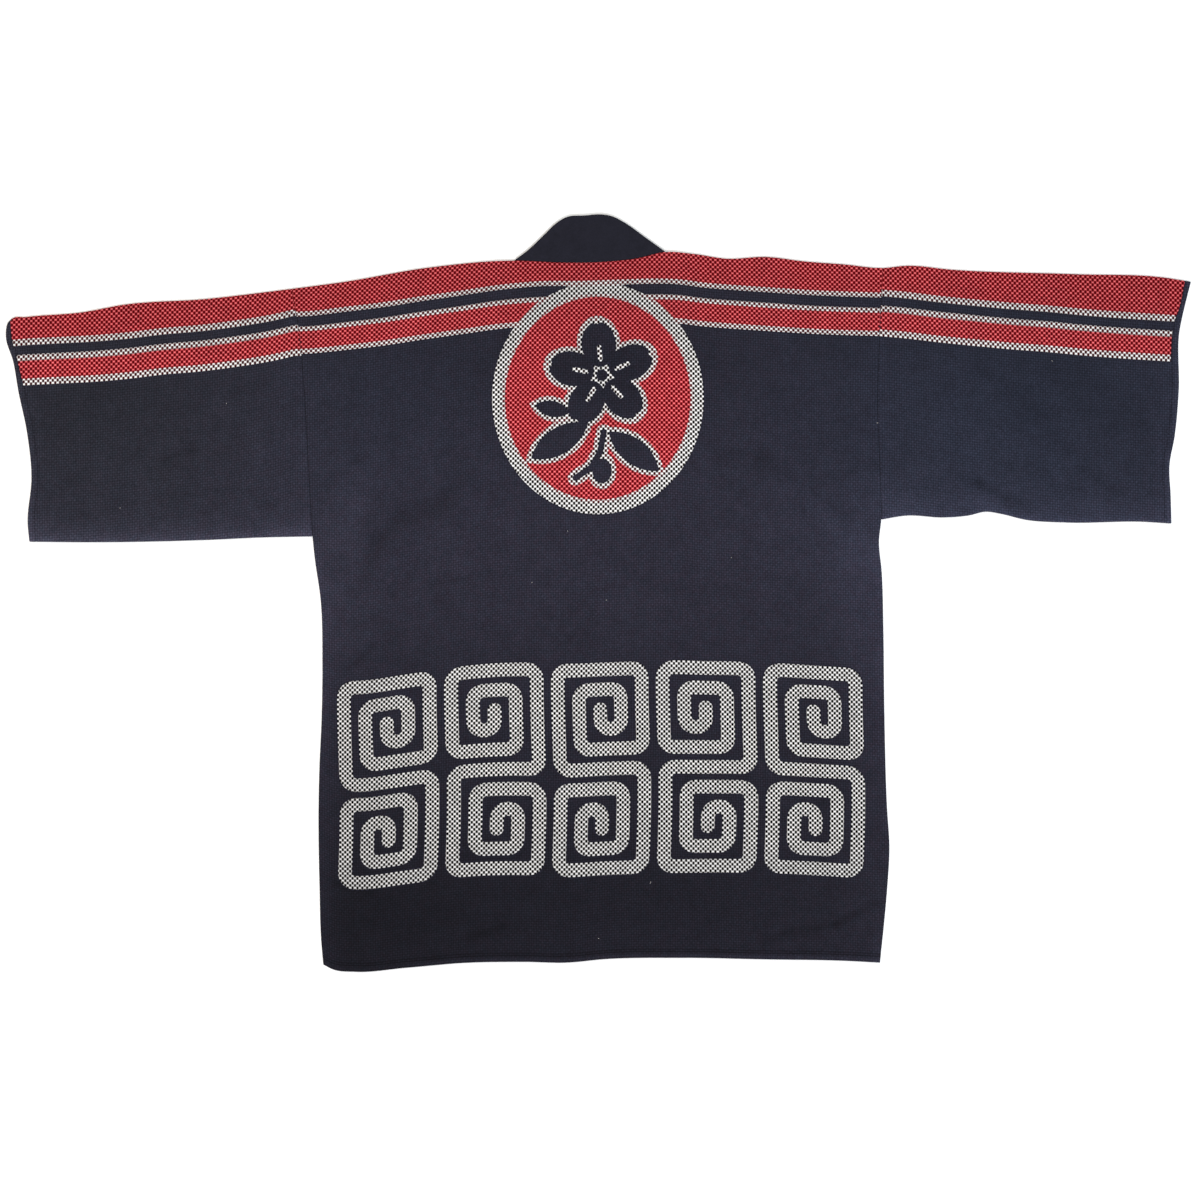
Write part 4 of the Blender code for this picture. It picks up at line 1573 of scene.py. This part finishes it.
# %% Lay the yarn on the fronts
def front_lower(x, y):
    """Lowest face of the fronts."""
    room = np.minimum(x - left_side(y), right_side(y) - x)
    rounded = kept(np.minimum(room, shoulder(x) - y))
    return WALL - (WALL - under_face(back_rows(x, y))) * rounded


FRONT_UP = (225, 388)
PAST_NECK = 20              # how far the seams lean in from the neck's ends, and a little more
FRONTS = (
    ("front_left", left_side, left_seam, (BACK_ACROSS[0], NECK_LEFT + PAST_NECK)),
    ("front_right", right_seam, right_side, (NECK_RIGHT - PAST_NECK, BACK_ACROSS[1])),
)
for name, near, far, across in FRONTS:
    yarn[name] = [weave_yarn(
        name + "_under", (across, FRONT_UP), back_rows, back_height, (near, far, hem),
        front_design, front_lower, side=-1,
    )]

# %% [markdown]
# ## Stitches and lint
# The hem and the cuffs are turned in and sewn down with short stitches, which sink a little
# into the cloth. A stitch is a small grain: rings of points whose radius follows a half circle
# from end to end. Every stitch of a row is the same grain, turned along the row, so one set of
# arrays makes them all.

# %% Grains of thread
GRAIN_SIDES = 6             # points of one ring
GRAIN_RINGS = (-0.96, -0.6, 0.0, 0.6, 0.96)
GRAIN_LIFT = 0.1            # how far its middle line stands off the cloth


def grains(name, x, y, turn, length, radius, face, side=1, bend=0.0, light_and_fade=worn):
    """Grains of thread: radius * sqrt(1 - s^2) round a middle line, s from -1 to 1 along it."""
    round_way = np.arange(GRAIN_SIDES) * 2 * math.pi / GRAIN_SIDES
    s = np.repeat(GRAIN_RINGS, GRAIN_SIDES)
    wide = np.sqrt(1 - s ** 2) * np.tile(np.cos(round_way), len(GRAIN_RINGS))
    high = np.sqrt(1 - s ** 2) * np.tile(np.sin(round_way), len(GRAIN_RINGS))
    along = s * length[:, None] / 2
    aside = wide * radius + bend * (s ** 2) * length[:, None]
    px = x[:, None] + along * np.cos(turn)[:, None] - aside * np.sin(turn)[:, None]
    py = y[:, None] + along * np.sin(turn)[:, None] + aside * np.cos(turn)[:, None]
    pz = face(x, y)[:, None] + side * GRAIN_LIFT + high * radius
    number = np.arange(len(s)).reshape(-1, GRAIN_SIDES)
    number = np.concatenate((number, number[:, :1]), axis=1)
    first, last = number[0], number[-1]
    caps = (first[[0, 1, 2, 3]], first[[3, 4, 5, 0]], last[[3, 2, 1, 0]], last[[0, 5, 4, 3]])
    faces = np.concatenate((grid_faces(number)[:, ::-1], caps))
    faces = (faces + len(s) * np.arange(len(x))[:, None, None]).reshape(-1, 4)
    points = np.stack((px, py, np.maximum(pz, LOWEST)), axis=-1).reshape(-1, 3)
    # The thread takes the fade and painted light of the cloth under it.
    return make_mesh(name, points, faces, worn=light_and_fade(px, py).ravel())


print("points of a grain:", len(GRAIN_RINGS) * GRAIN_SIDES)

# %% [markdown]
# A row of stitches follows the hem or a cuff, and a stitch is longer than the gap to the next.

# %% Rows of stitches
STITCH_LENGTH = 2.6
STITCH_PITCH = 3.6
THREAD_RADIUS = 0.28


def row_of_stitches(sewn):
    """Stitches along a line: height for a place across at the hem, the reverse at a cuff."""
    at = np.arange(sewn.start, sewn.end, STITCH_PITCH)
    lies = sewn.line(at)
    x, y, turn = at, lies, np.arctan(np.gradient(lies, at))
    if "cuff" in sewn.name:
        x, y, turn = lies, at, math.pi / 2 - turn
    length = np.full(len(at), STITCH_LENGTH)
    return grains(sewn.name, x, y, turn, length, THREAD_RADIUS, sewn.face, sewn.side)


print("gap between two stitches, mm:", round(STITCH_PITCH - STITCH_LENGTH, 1))

# %% [markdown]
# The hem is sewn through one layer at a time, so the back and each front have their own row. A
# cuff is sewn all round, and its row has a stretch above and one below.

# %% Sew the hem and the cuffs
GROOVE_FACE = 0.35          # height of the fronts' lowest face along the sewing


def sewn_hem(x):
    """Height of the stitches above the hem."""
    return hem(x) + HEM_SEWN


def sewn_left_cuff(y):
    """Place of the stitches at the left cuff."""
    return left_cuff(y) + CUFF_SEWN


def sewn_right_cuff(y):
    """Place of the stitches at the right cuff."""
    return right_cuff(y) - CUFF_SEWN


def front_groove(x, y):
    """Lowest face of the fronts at the hem's sewing."""
    return np.full_like(x, GROOVE_FACE)


Sewn = namedtuple("Sewn", "node name line start end face side")
SEWN = (
    Sewn("back", "hem_stitches", sewn_hem, -306, 314, back_upper, 1),
    Sewn("front_left", "hem_stitches_left_front", sewn_hem, -306, -82, front_groove, -1),
    Sewn("front_right", "hem_stitches_right_front", sewn_hem, 69, 314, front_groove, -1),
    Sewn("sleeve_left", "cuff_stitches_left", sewn_left_cuff, 62, 300, sleeve_upper, 1),
    Sewn("sleeve_left", "cuff_stitches_left_under", sewn_left_cuff, 62, 300, sleeve_lower, -1),
    Sewn("sleeve_right", "cuff_stitches_right", sewn_right_cuff, 86, 348, sleeve_upper, 1),
    Sewn("sleeve_right", "cuff_stitches_right_under", sewn_right_cuff, 86, 348, sleeve_lower, -1),
)
stitches = [(sewn.node, row_of_stitches(sewn)) for sewn in SEWN]
print("rows of stitches:", len(stitches))

# %% [markdown]
# Dark cotton gathers pale lint. A fleck is a grain again, thinner for its length and bent.

# %% Flecks of lint
LINT_RADIUS = 0.3
LINT_BEND = 0.25
Grain = namedtuple("Grain", "x y turn length")
LINT = (
    Grain(315, 192, 20, 2.2), Grain(59, -327, 70, 2.6), Grain(0, -390, -30, 2.0),
    Grain(-75, 12, 50, 1.8), Grain(9, -8, 10, 1.6), Grain(-420, 214, 80, 1.9),
    Grain(512, 262, -60, 2.1), Grain(240, -205, 35, 1.7), Grain(-262, -160, -15, 2.0),
    Grain(150, 40, 60, 1.5), Grain(-35, 70, -70, 1.8), Grain(-540, 96, 25, 1.6),
)


def lay_lint():
    """Flecks of lint on the upper face of the back and the sleeves."""
    x, y, turn, length = (np.array(column, float) for column in zip(*LINT))
    return grains(
        "lint", x, y, np.radians(turn), length, LINT_RADIUS,
        lambda x, y: cover_height(x, y) + GRAIN_LIFT, bend=LINT_BEND,
        light_and_fade=lambda x, y: np.ones_like(x),
    )


lint = lay_lint()

# %% [markdown]
# ## Colours and nodes
# Dye colours are easier to pick on a screen scale, so they are written as hex and one function
# turns them to the linear values that the shader needs. One more function adds a node: a value
# is set on its socket, and a socket is linked.

# %% Helpers for materials
def linear(hex_colour):
    """An sRGB hex colour as linear red, green, blue and alpha."""
    parts = [int(hex_colour[k:k + 2], 16) / 255 for k in (1, 3, 5)]
    parts = [c / 12.92 if c <= 0.04045 else ((c + 0.055) / 1.055) ** 2.4 for c in parts]
    return (*parts, 1.0)


def add_node(tree, kind, inputs=(), **settings):
    """Adds one node with its settings, its values and its links."""
    made = tree.nodes.new("ShaderNode" + kind)
    for key, value in settings.items():
        setattr(made, key, value)
    for key, value in dict(inputs).items():
        if isinstance(value, bpy.types.NodeSocket):
            tree.links.new(value, made.inputs[key])
        else:
            made.inputs[key].default_value = value
    return made


SHEEN_ROUGHNESS = 0.5


def new_material(name, roughness, sheen=0.0, specular=0.3):
    """A material with its shader's even values set."""
    material = bpy.data.materials.new(name)
    material.use_nodes = True
    shader = material.node_tree.nodes["Principled BSDF"]
    shader.inputs["Roughness"].default_value = roughness
    shader.inputs["Sheen Weight"].default_value = sheen
    shader.inputs["Sheen Roughness"].default_value = SHEEN_ROUGHNESS
    shader.inputs["Specular IOR Level"].default_value = specular
    return material, material.node_tree, shader


print("navy on the linear scale:", [round(part, 3) for part in linear("#2a2835")])

# %% [markdown]
# ## Navy dobby cotton
# Thick dyed cotton is matt: rough, with a faint sheen of loose fibre. Its crossings stand in a
# square grid, and every second one is a long float with a deeper gap between it and the next.
# Single yarns and broad patches took the dye unevenly, so noise of several sizes works on the
# colour. Each share is multiplied in, one after another.

# %% Uneven dye
def mottle(tree, size, low, high):
    """Soft uneven patches of the given size in millimetres, from low to high."""
    place = add_node(tree, "TexCoord").outputs["Object"]
    noise = add_node(
        tree, "TexNoise", {"Vector": place, "Scale": 1 / (size * MM), "Detail": 3.0}
    )
    return add_node(
        tree, "MapRange",
        {"Value": noise.outputs["Fac"], "From Min": 0.3, "From Max": 0.7,
         "To Min": low, "To Max": high},
    ).outputs["Result"]


def multiplied_by_shares(tree, colour, shares):
    """A colour multiplied by several shares, one after another."""
    for share in shares:
        colour = add_node(
            tree, "Mix", {"Factor": 1.0, "A": colour, "B": share},
            data_type="RGBA", blend_type="MULTIPLY",
        ).outputs["Result"]
    return colour


BROAD = 22.0                # sizes of the uneven patches of dye, millimetres
MIDDLE = 6.0
FINE = 1.6
print("patches of dye, mm:", BROAD, MIDDLE, FINE)

# %% [markdown]
# Two waves across each other make a grid of threads. The gaps stand on a lattice turned by 45
# degrees, and a Voronoi texture without randomness gives the distance to the nearest of them.

# %% Threads and gaps
def crossing_threads(tree, weave, pitch, wobble):
    """Threads both ways: 0 in the pit between four of them, 2 on a crossing.

    A band texture repeats every 0.314 / scale, and the half turn puts a crest at 0.
    """
    waves = [
        add_node(
            tree, "TexWave",
            {"Vector": weave, "Scale": 0.1 * math.pi * REPEAT / pitch, "Distortion": wobble,
             "Detail": 1.0, "Detail Scale": 2.0, "Phase Offset": math.pi},
            bands_direction=direction,
        ).outputs["Fac"]
        for direction in "XY"
    ]
    return add_node(tree, "Math", {0: waves[0], 1: waves[1]}, operation="ADD").outputs[0]


def lattice_cells(tree, weave, shift):
    """Cells of the turned lattice: round the gaps, or round the floats where shifted by half."""
    turned = add_node(
        tree, "Mapping",
        {"Vector": weave, "Scale": (math.sqrt(2),) * 3, "Rotation": (0, 0, math.pi / 4),
         "Location": (shift, shift, 0)},
    )
    return add_node(
        tree, "TexVoronoi", {"Vector": turned.outputs[0], "Scale": 1.0, "Randomness": 0.0},
        voronoi_dimensions="2D",
    )


THREAD = 0.55               # one thread, millimetres
print("threads in one repeat of the weave:", round(REPEAT / THREAD))

# %% [markdown]
# Indigo-dyed cotton is never one navy. The yarns differ a little in hue, painted tints of cool and
# greenish light turn some of the cloth bluer and some greener, and the shoulder band is red right
# through. One Mix node after another lays these over each other.

# %% Dyes of the ground
NAVY_DYE = "#25222d"
BLUER_DYE = "#22232e"       # some yarns took the blue of the dye better than others
COOL_LIGHT_TINT = "#1f2431"      # painted tint of cool light on part of the cloth
GREEN_LIGHT_TINT = "#202328"    # painted tint of greenish light on part of the cloth
RED_DYE = "#7d141b"


def ground_dye(tree, yarn_hue):
    """Colour of the ground: navy by yarn, then painted tints of cool and greenish light and the red
    dye laid over it.
    """
    dye = add_node(
        tree, "Mix", {"Factor": yarn_hue, "A": linear(NAVY_DYE), "B": linear(BLUER_DYE)},
        data_type="RGBA",
    ).outputs["Result"]
    for name, colour in (("painted_cool_tint", COOL_LIGHT_TINT), ("painted_green_tint", GREEN_LIGHT_TINT), ("dyed", RED_DYE)):
        share = add_node(tree, "Attribute", attribute_name=name).outputs["Fac"]
        dye = add_node(
            tree, "Mix", {"Factor": share, "A": dye, "B": linear(colour)}, data_type="RGBA"
        ).outputs["Result"]
    return dye


print("red on the linear scale:", [round(part, 3) for part in linear(RED_DYE)])

# %% [markdown]
# The gaps and the pits between the threads are darkened with painted shade, and faded places, with
# their painted light, are paler. The weave's relief is a bump, because on the dark ground a real one
# would hardly show. With little shine, what is left to the eye is a deep, soft, matt navy.

# %% Dobby cotton
def dobby_cotton():
    """Navy cloth with its woven grid, painted shade in its gaps and pits, its threads, uneven dye,
    fade and painted light.
    """
    material, tree, shader = new_material("dobby_cotton_navy", 0.9, sheen=0.022, specular=0.09)
    weave = add_node(tree, "UVMap", uv_map="weave").outputs[0]
    cells = lattice_cells(tree, weave, 0.0)
    raised = add_node(
        tree, "MapRange", {"Value": cells.outputs["Distance"], "From Min": 0.1, "From Max": 0.55}
    ).outputs["Result"]
    grid = crossing_threads(tree, weave, HALF, 1.6)
    yarn_hue = add_node(tree, "SeparateColor", {"Color": cells.outputs["Color"]}).outputs["Red"]
    shares = (
        # fade of the dye with painted light and shade, from the points
        add_node(tree, "Attribute", attribute_name="worn").outputs["Fac"],
        # painted shade in the gaps and in the pits between the threads
        add_node(tree, "MapRange", {"Value": raised, "To Min": 0.8, "To Max": 1.08}).outputs[0],
        add_node(
            tree, "MapRange", {"Value": grid, "From Max": 2.0, "To Min": 0.5, "To Max": 1.5}
        ).outputs[0],
        mottle(tree, BROAD, 0.91, 1.09),
        mottle(tree, MIDDLE, 0.88, 1.12),
        mottle(tree, FINE, 0.78, 1.22),
    )
    dye = multiplied_by_shares(tree, ground_dye(tree, yarn_hue), shares)
    tree.links.new(dye, shader.inputs["Base Color"])
    fine = crossing_threads(tree, weave, THREAD, 0.6)
    threads = add_node(tree, "Bump", {"Height": fine, "Strength": 0.2, "Distance": 0.0001})
    relief = add_node(tree, "Math", {0: raised, 1: grid}, operation="ADD").outputs[0]
    bump = add_node(
        tree, "Bump",
        {"Height": relief, "Strength": 0.4, "Distance": 0.00015, "Normal": threads.outputs[0]},
    )
    tree.links.new(bump.outputs[0], shader.inputs["Normal"])
    return material


navy_cloth = dobby_cotton()
print(navy_cloth.name, "nodes:", len(navy_cloth.node_tree.nodes))

# %% [markdown]
# ## Coloured floats
# The raised yarn is thicker and softer than the ground, and light from above finds its crown first.
# Each colour follows the height saved on the tile, with painted shade low on it and a painted
# highlight high: almost black in the gaps, where the navy ground shows with painted shade, a deep tone
# on the flanks, and the full colour, brightened by a painted highlight, on the crown. Where a point is
# inside no colour, the yarn is navy, as it is all over the ground.

# %% Painted shade and highlight by height, dye by area
EDGE_BLUR = 0.25            # how far a dye creeps over its edge, millimetres
GAP_TOP = 0.59              # height share up to which the colour of the gap goes
FLANK = 0.68
ShadedDye = namedtuple("ShadedDye", "name gap flank top pale_from")
# Gap and flank hold painted shade, and the top a painted highlight.
SHADED_DYES = (
    ShadedDye("navy", "#13121a", "#23222d", "#252431", 0.9),
    ShadedDye("red", "#4c0108", "#950d1a", "#ec7d80", 0.97),
    ShadedDye("white", "#020202", "#979492", "#ececec", 0.9),
)


def shaded_floats(tree, crown):
    """Colour of the floats by height, with painted shade low and a painted highlight on the crown,
    laid over each other where a colour's area begins.

    It also returns where the last colour, the white, is.
    """
    colour = (0, 0, 0, 1)
    mask = 1.0
    for dye in SHADED_DYES:
        tone = add_node(tree, "ValToRGB", {"Fac": crown})
        stops = tone.color_ramp.elements
        stops[0].position, stops[0].color = GAP_TOP, linear(dye.gap)
        stops[1].position, stops[1].color = dye.pale_from, linear(dye.top)
        stops.new(FLANK).color = linear(dye.flank)
        if dye.name != "navy":
            inside = add_node(tree, "Attribute", attribute_name=dye.name).outputs["Fac"]
            mask = add_node(
                tree, "MapRange",
                {"Value": inside, "From Min": -EDGE_BLUR, "From Max": EDGE_BLUR},
            ).outputs["Result"]
        colour = add_node(
            tree, "Mix", {"Factor": mask, "A": colour, "B": tone.outputs["Color"]},
            data_type="RGBA",
        ).outputs["Result"]
    return colour, mask


print("dyes:", [dye.name for dye in SHADED_DYES])

# %% [markdown]
# When the cloth was rinsed, a trace of the red crept into the white beside it, along the deeper
# threads. A share for how near the red is, one for how low the thread lies and one for the
# white are multiplied.

# %% A trace of red in the white
CREEP = 4.0                 # how far a trace of red reached beyond its edge, millimetres
CREEP_FULL = 1.0            # and how far it is at its strongest
CREPT_SHARE = 0.9
LOW_THREAD = 0.56           # height share up to which a thread took all of it
HIGH_THREAD = 0.8           # and from which it took none
CREPT_DYE = "#571017"


def crept_red(tree, colour, crown, white):
    """The colour with a trace of red in the low threads of the white, near the red."""
    beside_red = add_node(
        tree, "MapRange",
        {"Value": add_node(tree, "Attribute", attribute_name="red").outputs["Fac"],
         "From Min": -CREEP, "From Max": -CREEP_FULL, "To Max": CREPT_SHARE},
    ).outputs["Result"]
    low = add_node(
        tree, "MapRange",
        {"Value": crown, "From Min": LOW_THREAD, "From Max": HIGH_THREAD,
         "To Min": 1.0, "To Max": 0.0},
    ).outputs["Result"]
    low_white = add_node(tree, "Math", {0: low, 1: white}, operation="MULTIPLY").outputs[0]
    crept = add_node(tree, "Math", {0: beside_red, 1: low_white}, operation="MULTIPLY").outputs[0]
    return add_node(
        tree, "Mix", {"Factor": crept, "A": colour, "B": linear(CREPT_DYE)}, data_type="RGBA"
    ).outputs["Result"]


print("the red crept by mm:", CREEP)

# %% [markdown]
# Every crossing took the dye a little differently, and the twist of the yarn makes fine
# slanting strands across it. The yarn is softer than the ground, so it shines even less.

# %% Yarn material
def float_yarn():
    """Soft raised yarn in three dyes, each crossing a little different."""
    material, tree, shader = new_material("dobby_float_yarn", 0.88, sheen=0.01, specular=0.04)
    crown = add_node(tree, "Attribute", attribute_name="crown").outputs["Fac"]
    colour, white = shaded_floats(tree, crown)
    colour = crept_red(tree, colour, crown, white)
    weave = add_node(tree, "UVMap", uv_map="weave").outputs[0]
    own_colour = lattice_cells(tree, weave, 0.5).outputs["Color"]
    single = add_node(tree, "SeparateColor", {"Color": own_colour}).outputs["Red"]
    shares = (
        # painted light and shade of the yarn, from the points
        add_node(tree, "Attribute", attribute_name="clean").outputs["Fac"],
        add_node(tree, "MapRange", {"Value": single, "To Min": 0.88, "To Max": 1.1}).outputs[0],
        mottle(tree, BROAD, 0.95, 1.05),
        mottle(tree, FINE, 0.92, 1.08),
    )
    tree.links.new(multiplied_by_shares(tree, colour, shares), shader.inputs["Base Color"])
    strand = add_node(
        tree, "TexWave",
        {"Vector": weave, "Scale": 0.1 * math.pi * REPEAT / THREAD, "Distortion": 0.6},
        bands_direction="DIAGONAL",
    ).outputs["Fac"]
    strands = add_node(tree, "Bump", {"Height": strand, "Strength": 0.35, "Distance": 0.00015})
    tree.links.new(strands.outputs[0], shader.inputs["Normal"])
    return material


yarn_in_dyes = float_yarn()
print(yarn_in_dyes.name, "nodes:", len(yarn_in_dyes.node_tree.nodes))

# %% [markdown]
# ## Collar cotton and sewing thread
# The collar is a plainer, smoother cotton: one thread over, one under, half a millimetre
# apart. It is the same matt navy, but with neither floats nor gaps, so it looks darker and
# more even than the body.

# %% Collar material
COLLAR_DYE = "#1b1b24"
COLLAR_PATCH = 9.0          # size of the collar's own patches, millimetres


def collar_cotton():
    """Plain woven navy cotton."""
    material, tree, shader = new_material("collar_cotton_navy", 0.88, sheen=0.022, specular=0.09)
    weave = add_node(tree, "UVMap", uv_map="weave").outputs[0]
    cross = crossing_threads(tree, weave, THREAD, 0.6)
    shares = (
        add_node(tree, "Attribute", attribute_name="worn").outputs["Fac"],
        # painted shade in the pits between the threads
        add_node(
            tree, "MapRange", {"Value": cross, "From Max": 2.0, "To Min": 0.75, "To Max": 1.15}
        ).outputs[0],
        mottle(tree, COLLAR_PATCH, 0.9, 1.1),
        mottle(tree, FINE, 0.85, 1.15),
    )
    colour = multiplied_by_shares(tree, linear(COLLAR_DYE), shares)
    tree.links.new(colour, shader.inputs["Base Color"])
    bump = add_node(tree, "Bump", {"Height": cross, "Strength": 0.4, "Distance": 0.0001})
    tree.links.new(bump.outputs[0], shader.inputs["Normal"])
    return material


collar_cloth = collar_cotton()
print(collar_cloth.name, "nodes:", len(collar_cloth.node_tree.nodes))

# %% [markdown]
# Cotton sewing thread is two strands twisted tight, dyed with the coat and dull from washing. A
# fleck of lint is a loose fibre of pale cotton. Both show the fine stripe of their twist.

# %% Thread and lint materials
TWIST_SCALE = 350.0         # about a stripe for every millimetre


def twisted_thread(name, colour, roughness):
    """Sewing thread or a fleck of fibre, with the fine stripe of its twist."""
    material, tree, shader = new_material(name, roughness, sheen=0.01, specular=0.04)
    place = add_node(tree, "TexCoord").outputs["Object"]
    twist = add_node(
        tree, "TexWave", {"Vector": place, "Scale": TWIST_SCALE}, bands_direction="DIAGONAL"
    ).outputs["Fac"]
    shade = add_node(tree, "MapRange", {"Value": twist, "To Min": 0.8, "To Max": 1.1}).outputs[0]
    # the same fade and painted light as the cloth under the thread
    painted_share = add_node(tree, "Attribute", attribute_name="worn").outputs["Fac"]
    colour = multiplied_by_shares(tree, linear(colour), (shade, painted_share))
    tree.links.new(colour, shader.inputs["Base Color"])
    return material


sewing_thread = twisted_thread("sewing_thread_navy", "#1d1b24", 0.85)
lint_fibre = twisted_thread("lint_fibre", "#a29f9d", 0.9)
print("thread and lint:", sewing_thread.name, lint_fibre.name)

# %% [markdown]
# ## Dressing the frame
# Each shell stands for its solid. Yarn and stitches ride along with the shell that they are on. Each
# shell is listed with the flat size that it was cut to: a sleeve's cut goes all round, and the collar
# band's is the finished double band.

# %% Cut sizes
Cut = namedtuple("Cut", "cloth node slot flat area rests_on")
CUTS = (
    Cut(back_cloth, "back", "dobby_cotton", (0.665, 0.812), None,
        ("front_left", "front_right", "collar_left", "collar_right")),
    Cut(front_left_cloth, "front_left", "dobby_cotton", (0.252, 0.812), None, ()),
    Cut(front_right_cloth, "front_right", "dobby_cotton", (0.268, 0.815), None, ()),
    Cut(sleeve_left_cloth, "sleeve_left", "dobby_cotton", (0.56, 0.325), None, ()),
    Cut(sleeve_right_cloth, "sleeve_right", "dobby_cotton", (0.57, 0.335), None, ()),
    Cut(collar_back_cloth, "collar_back", "collar_cotton", (0.168, 0.054), 0.0064,
        ("collar_left", "collar_right", "back")),
    Cut(collar_left_cloth, "collar_left", "collar_cotton", (0.054, 0.84), None, ()),
    Cut(collar_right_cloth, "collar_right", "collar_cotton", (0.054, 0.84), None, ()),
)
print("cloth cut, m2:", round(sum(cut.flat[0] * cut.flat[1] for cut in CUTS), 2))

# %% [markdown]
# The coat is one rigid body for the library, so every piece rides on its root, and each names
# the slot that its finish belongs to.

# %% Finish every piece
def finish_piece(piece, material):
    """Gives a piece its finish and its body."""
    piece.data.materials.append(material)
    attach(piece, "root")


for cut in CUTS:
    finish_piece(cut.cloth, collar_cloth if cut.slot == "collar_cotton" else navy_cloth)
    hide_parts(cut.node)
for pieces in yarn.values():
    for piece in pieces:
        finish_piece(piece, yarn_in_dyes)
for _, row in stitches:
    finish_piece(row, sewing_thread)
finish_piece(lint, lint_fibre)
print("pieces finished:", len(bpy.data.meshes))

# %% [markdown]
# A finer shell must stay where its solid is. Each one's box is set against the solid's, at the
# low corner and at the high one.

# %% Compare with the solids
for cut in CUTS:
    low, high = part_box(cut.node)
    points = np.empty(3 * len(cut.cloth.data.vertices), np.float32)
    cut.cloth.data.vertices.foreach_get("co", points)
    points = points.reshape(-1, 3)
    print(cut.node, "differs from its solid by mm",
          np.round((points.min(0) - low) / MM, 2), np.round((points.max(0) - high) / MM, 2))

# %% [markdown]
# ## Floor, light and camera
# The coat lies on a plain white floor, wide enough that no view from above sees its end. It
# lies a hair lower than the coat's underside, so that the two never share a plane.

# %% Floor
FLOOR_DROP = 0.0003         # metres, as all sizes of the stage are
FLOOR_REACH = 30.0
FLOOR_WHITE = "#fafafa"


def make_floor():
    """A plain square floor just below the coat."""
    mesh = bpy.data.meshes.new("floor")
    corners = [(-1, -1), (1, -1), (1, 1), (-1, 1)]
    points = [(FLOOR_REACH * x, FLOOR_REACH * y, -FLOOR_DROP) for x, y in corners]
    mesh.from_pydata(points, [], [(0, 1, 2, 3)])
    material, _, shader = new_material("floor_white", 0.9, specular=0.1)
    shader.inputs["Base Color"].default_value = linear(FLOOR_WHITE)
    mesh.materials.append(material)
    floor = bpy.data.objects.new("floor", mesh)
    bpy.context.scene.collection.objects.link(floor)
    print("floor, m:", 2 * FLOOR_REACH)


make_floor()

# %% [markdown]
# One wide soft light stands beyond the hem, some way up, so that the ridges shade the troughs
# behind them. Two weaker ones, warm on the left and cool on the right, are like a lamp and a
# window of the same room, and an even sky fills the shadows.

# %% Lights and sky
def add_softbox(name, place, size, power, colour):
    """A square soft light that faces the coat."""
    lamp = bpy.data.lights.new(name, "AREA")
    lamp.color = colour
    lamp.shape = "SQUARE"
    lamp.size = size
    lamp.energy = power
    softbox = bpy.data.objects.new(name, lamp)
    softbox.location = place
    softbox.rotation_mode = "QUATERNION"
    softbox.rotation_quaternion = softbox.location.to_track_quat("Z", "Y")
    bpy.context.scene.collection.objects.link(softbox)


SKY_STRENGTH = 0.62
add_softbox("key", place=(0.4, -3.6, 5.2), size=2.0, power=286, colour=(0.98, 0.98, 1.0))
add_softbox("warm_side", place=(-2.6, 1.4, 1.9), size=1.4, power=39, colour=(1.0, 0.86, 0.66))
add_softbox("cool_side", place=(2.6, 1.4, 1.9), size=1.4, power=39, colour=(0.78, 0.9, 1.0))
sky = bpy.data.worlds.new("sky")
sky.use_nodes = True
sky.node_tree.nodes["Background"].inputs["Color"].default_value = (1, 1, 1, 1)
sky.node_tree.nodes["Background"].inputs["Strength"].default_value = SKY_STRENGTH
bpy.context.scene.world = sky
bpy.context.scene.view_settings.view_transform = "Standard"
print("lights:", [lamp.name for lamp in bpy.data.lights])

# %% [markdown]
# The camera looks straight down from over three metres, where a long lens keeps the cuffs from
# leaning.

# %% Camera
LENS = 85.0                 # millimetres, as the sensor
SENSOR = 36.0
FRAME_WIDTH = 1.356         # metres across the frame at the cloth's height
CAMERA_OVER = (0.0017, -0.0078)
CLOTH_HEIGHT = 0.002

camera = bpy.data.objects.new("camera", bpy.data.cameras.new("camera"))
camera.data.lens = LENS
camera.data.sensor_width = SENSOR
camera.location = (*CAMERA_OVER, FRAME_WIDTH * LENS / SENSOR + CLOTH_HEIGHT)
bpy.context.scene.collection.objects.link(camera)
bpy.context.scene.camera = camera
print("camera stands, m:", round(camera.location.z, 3))
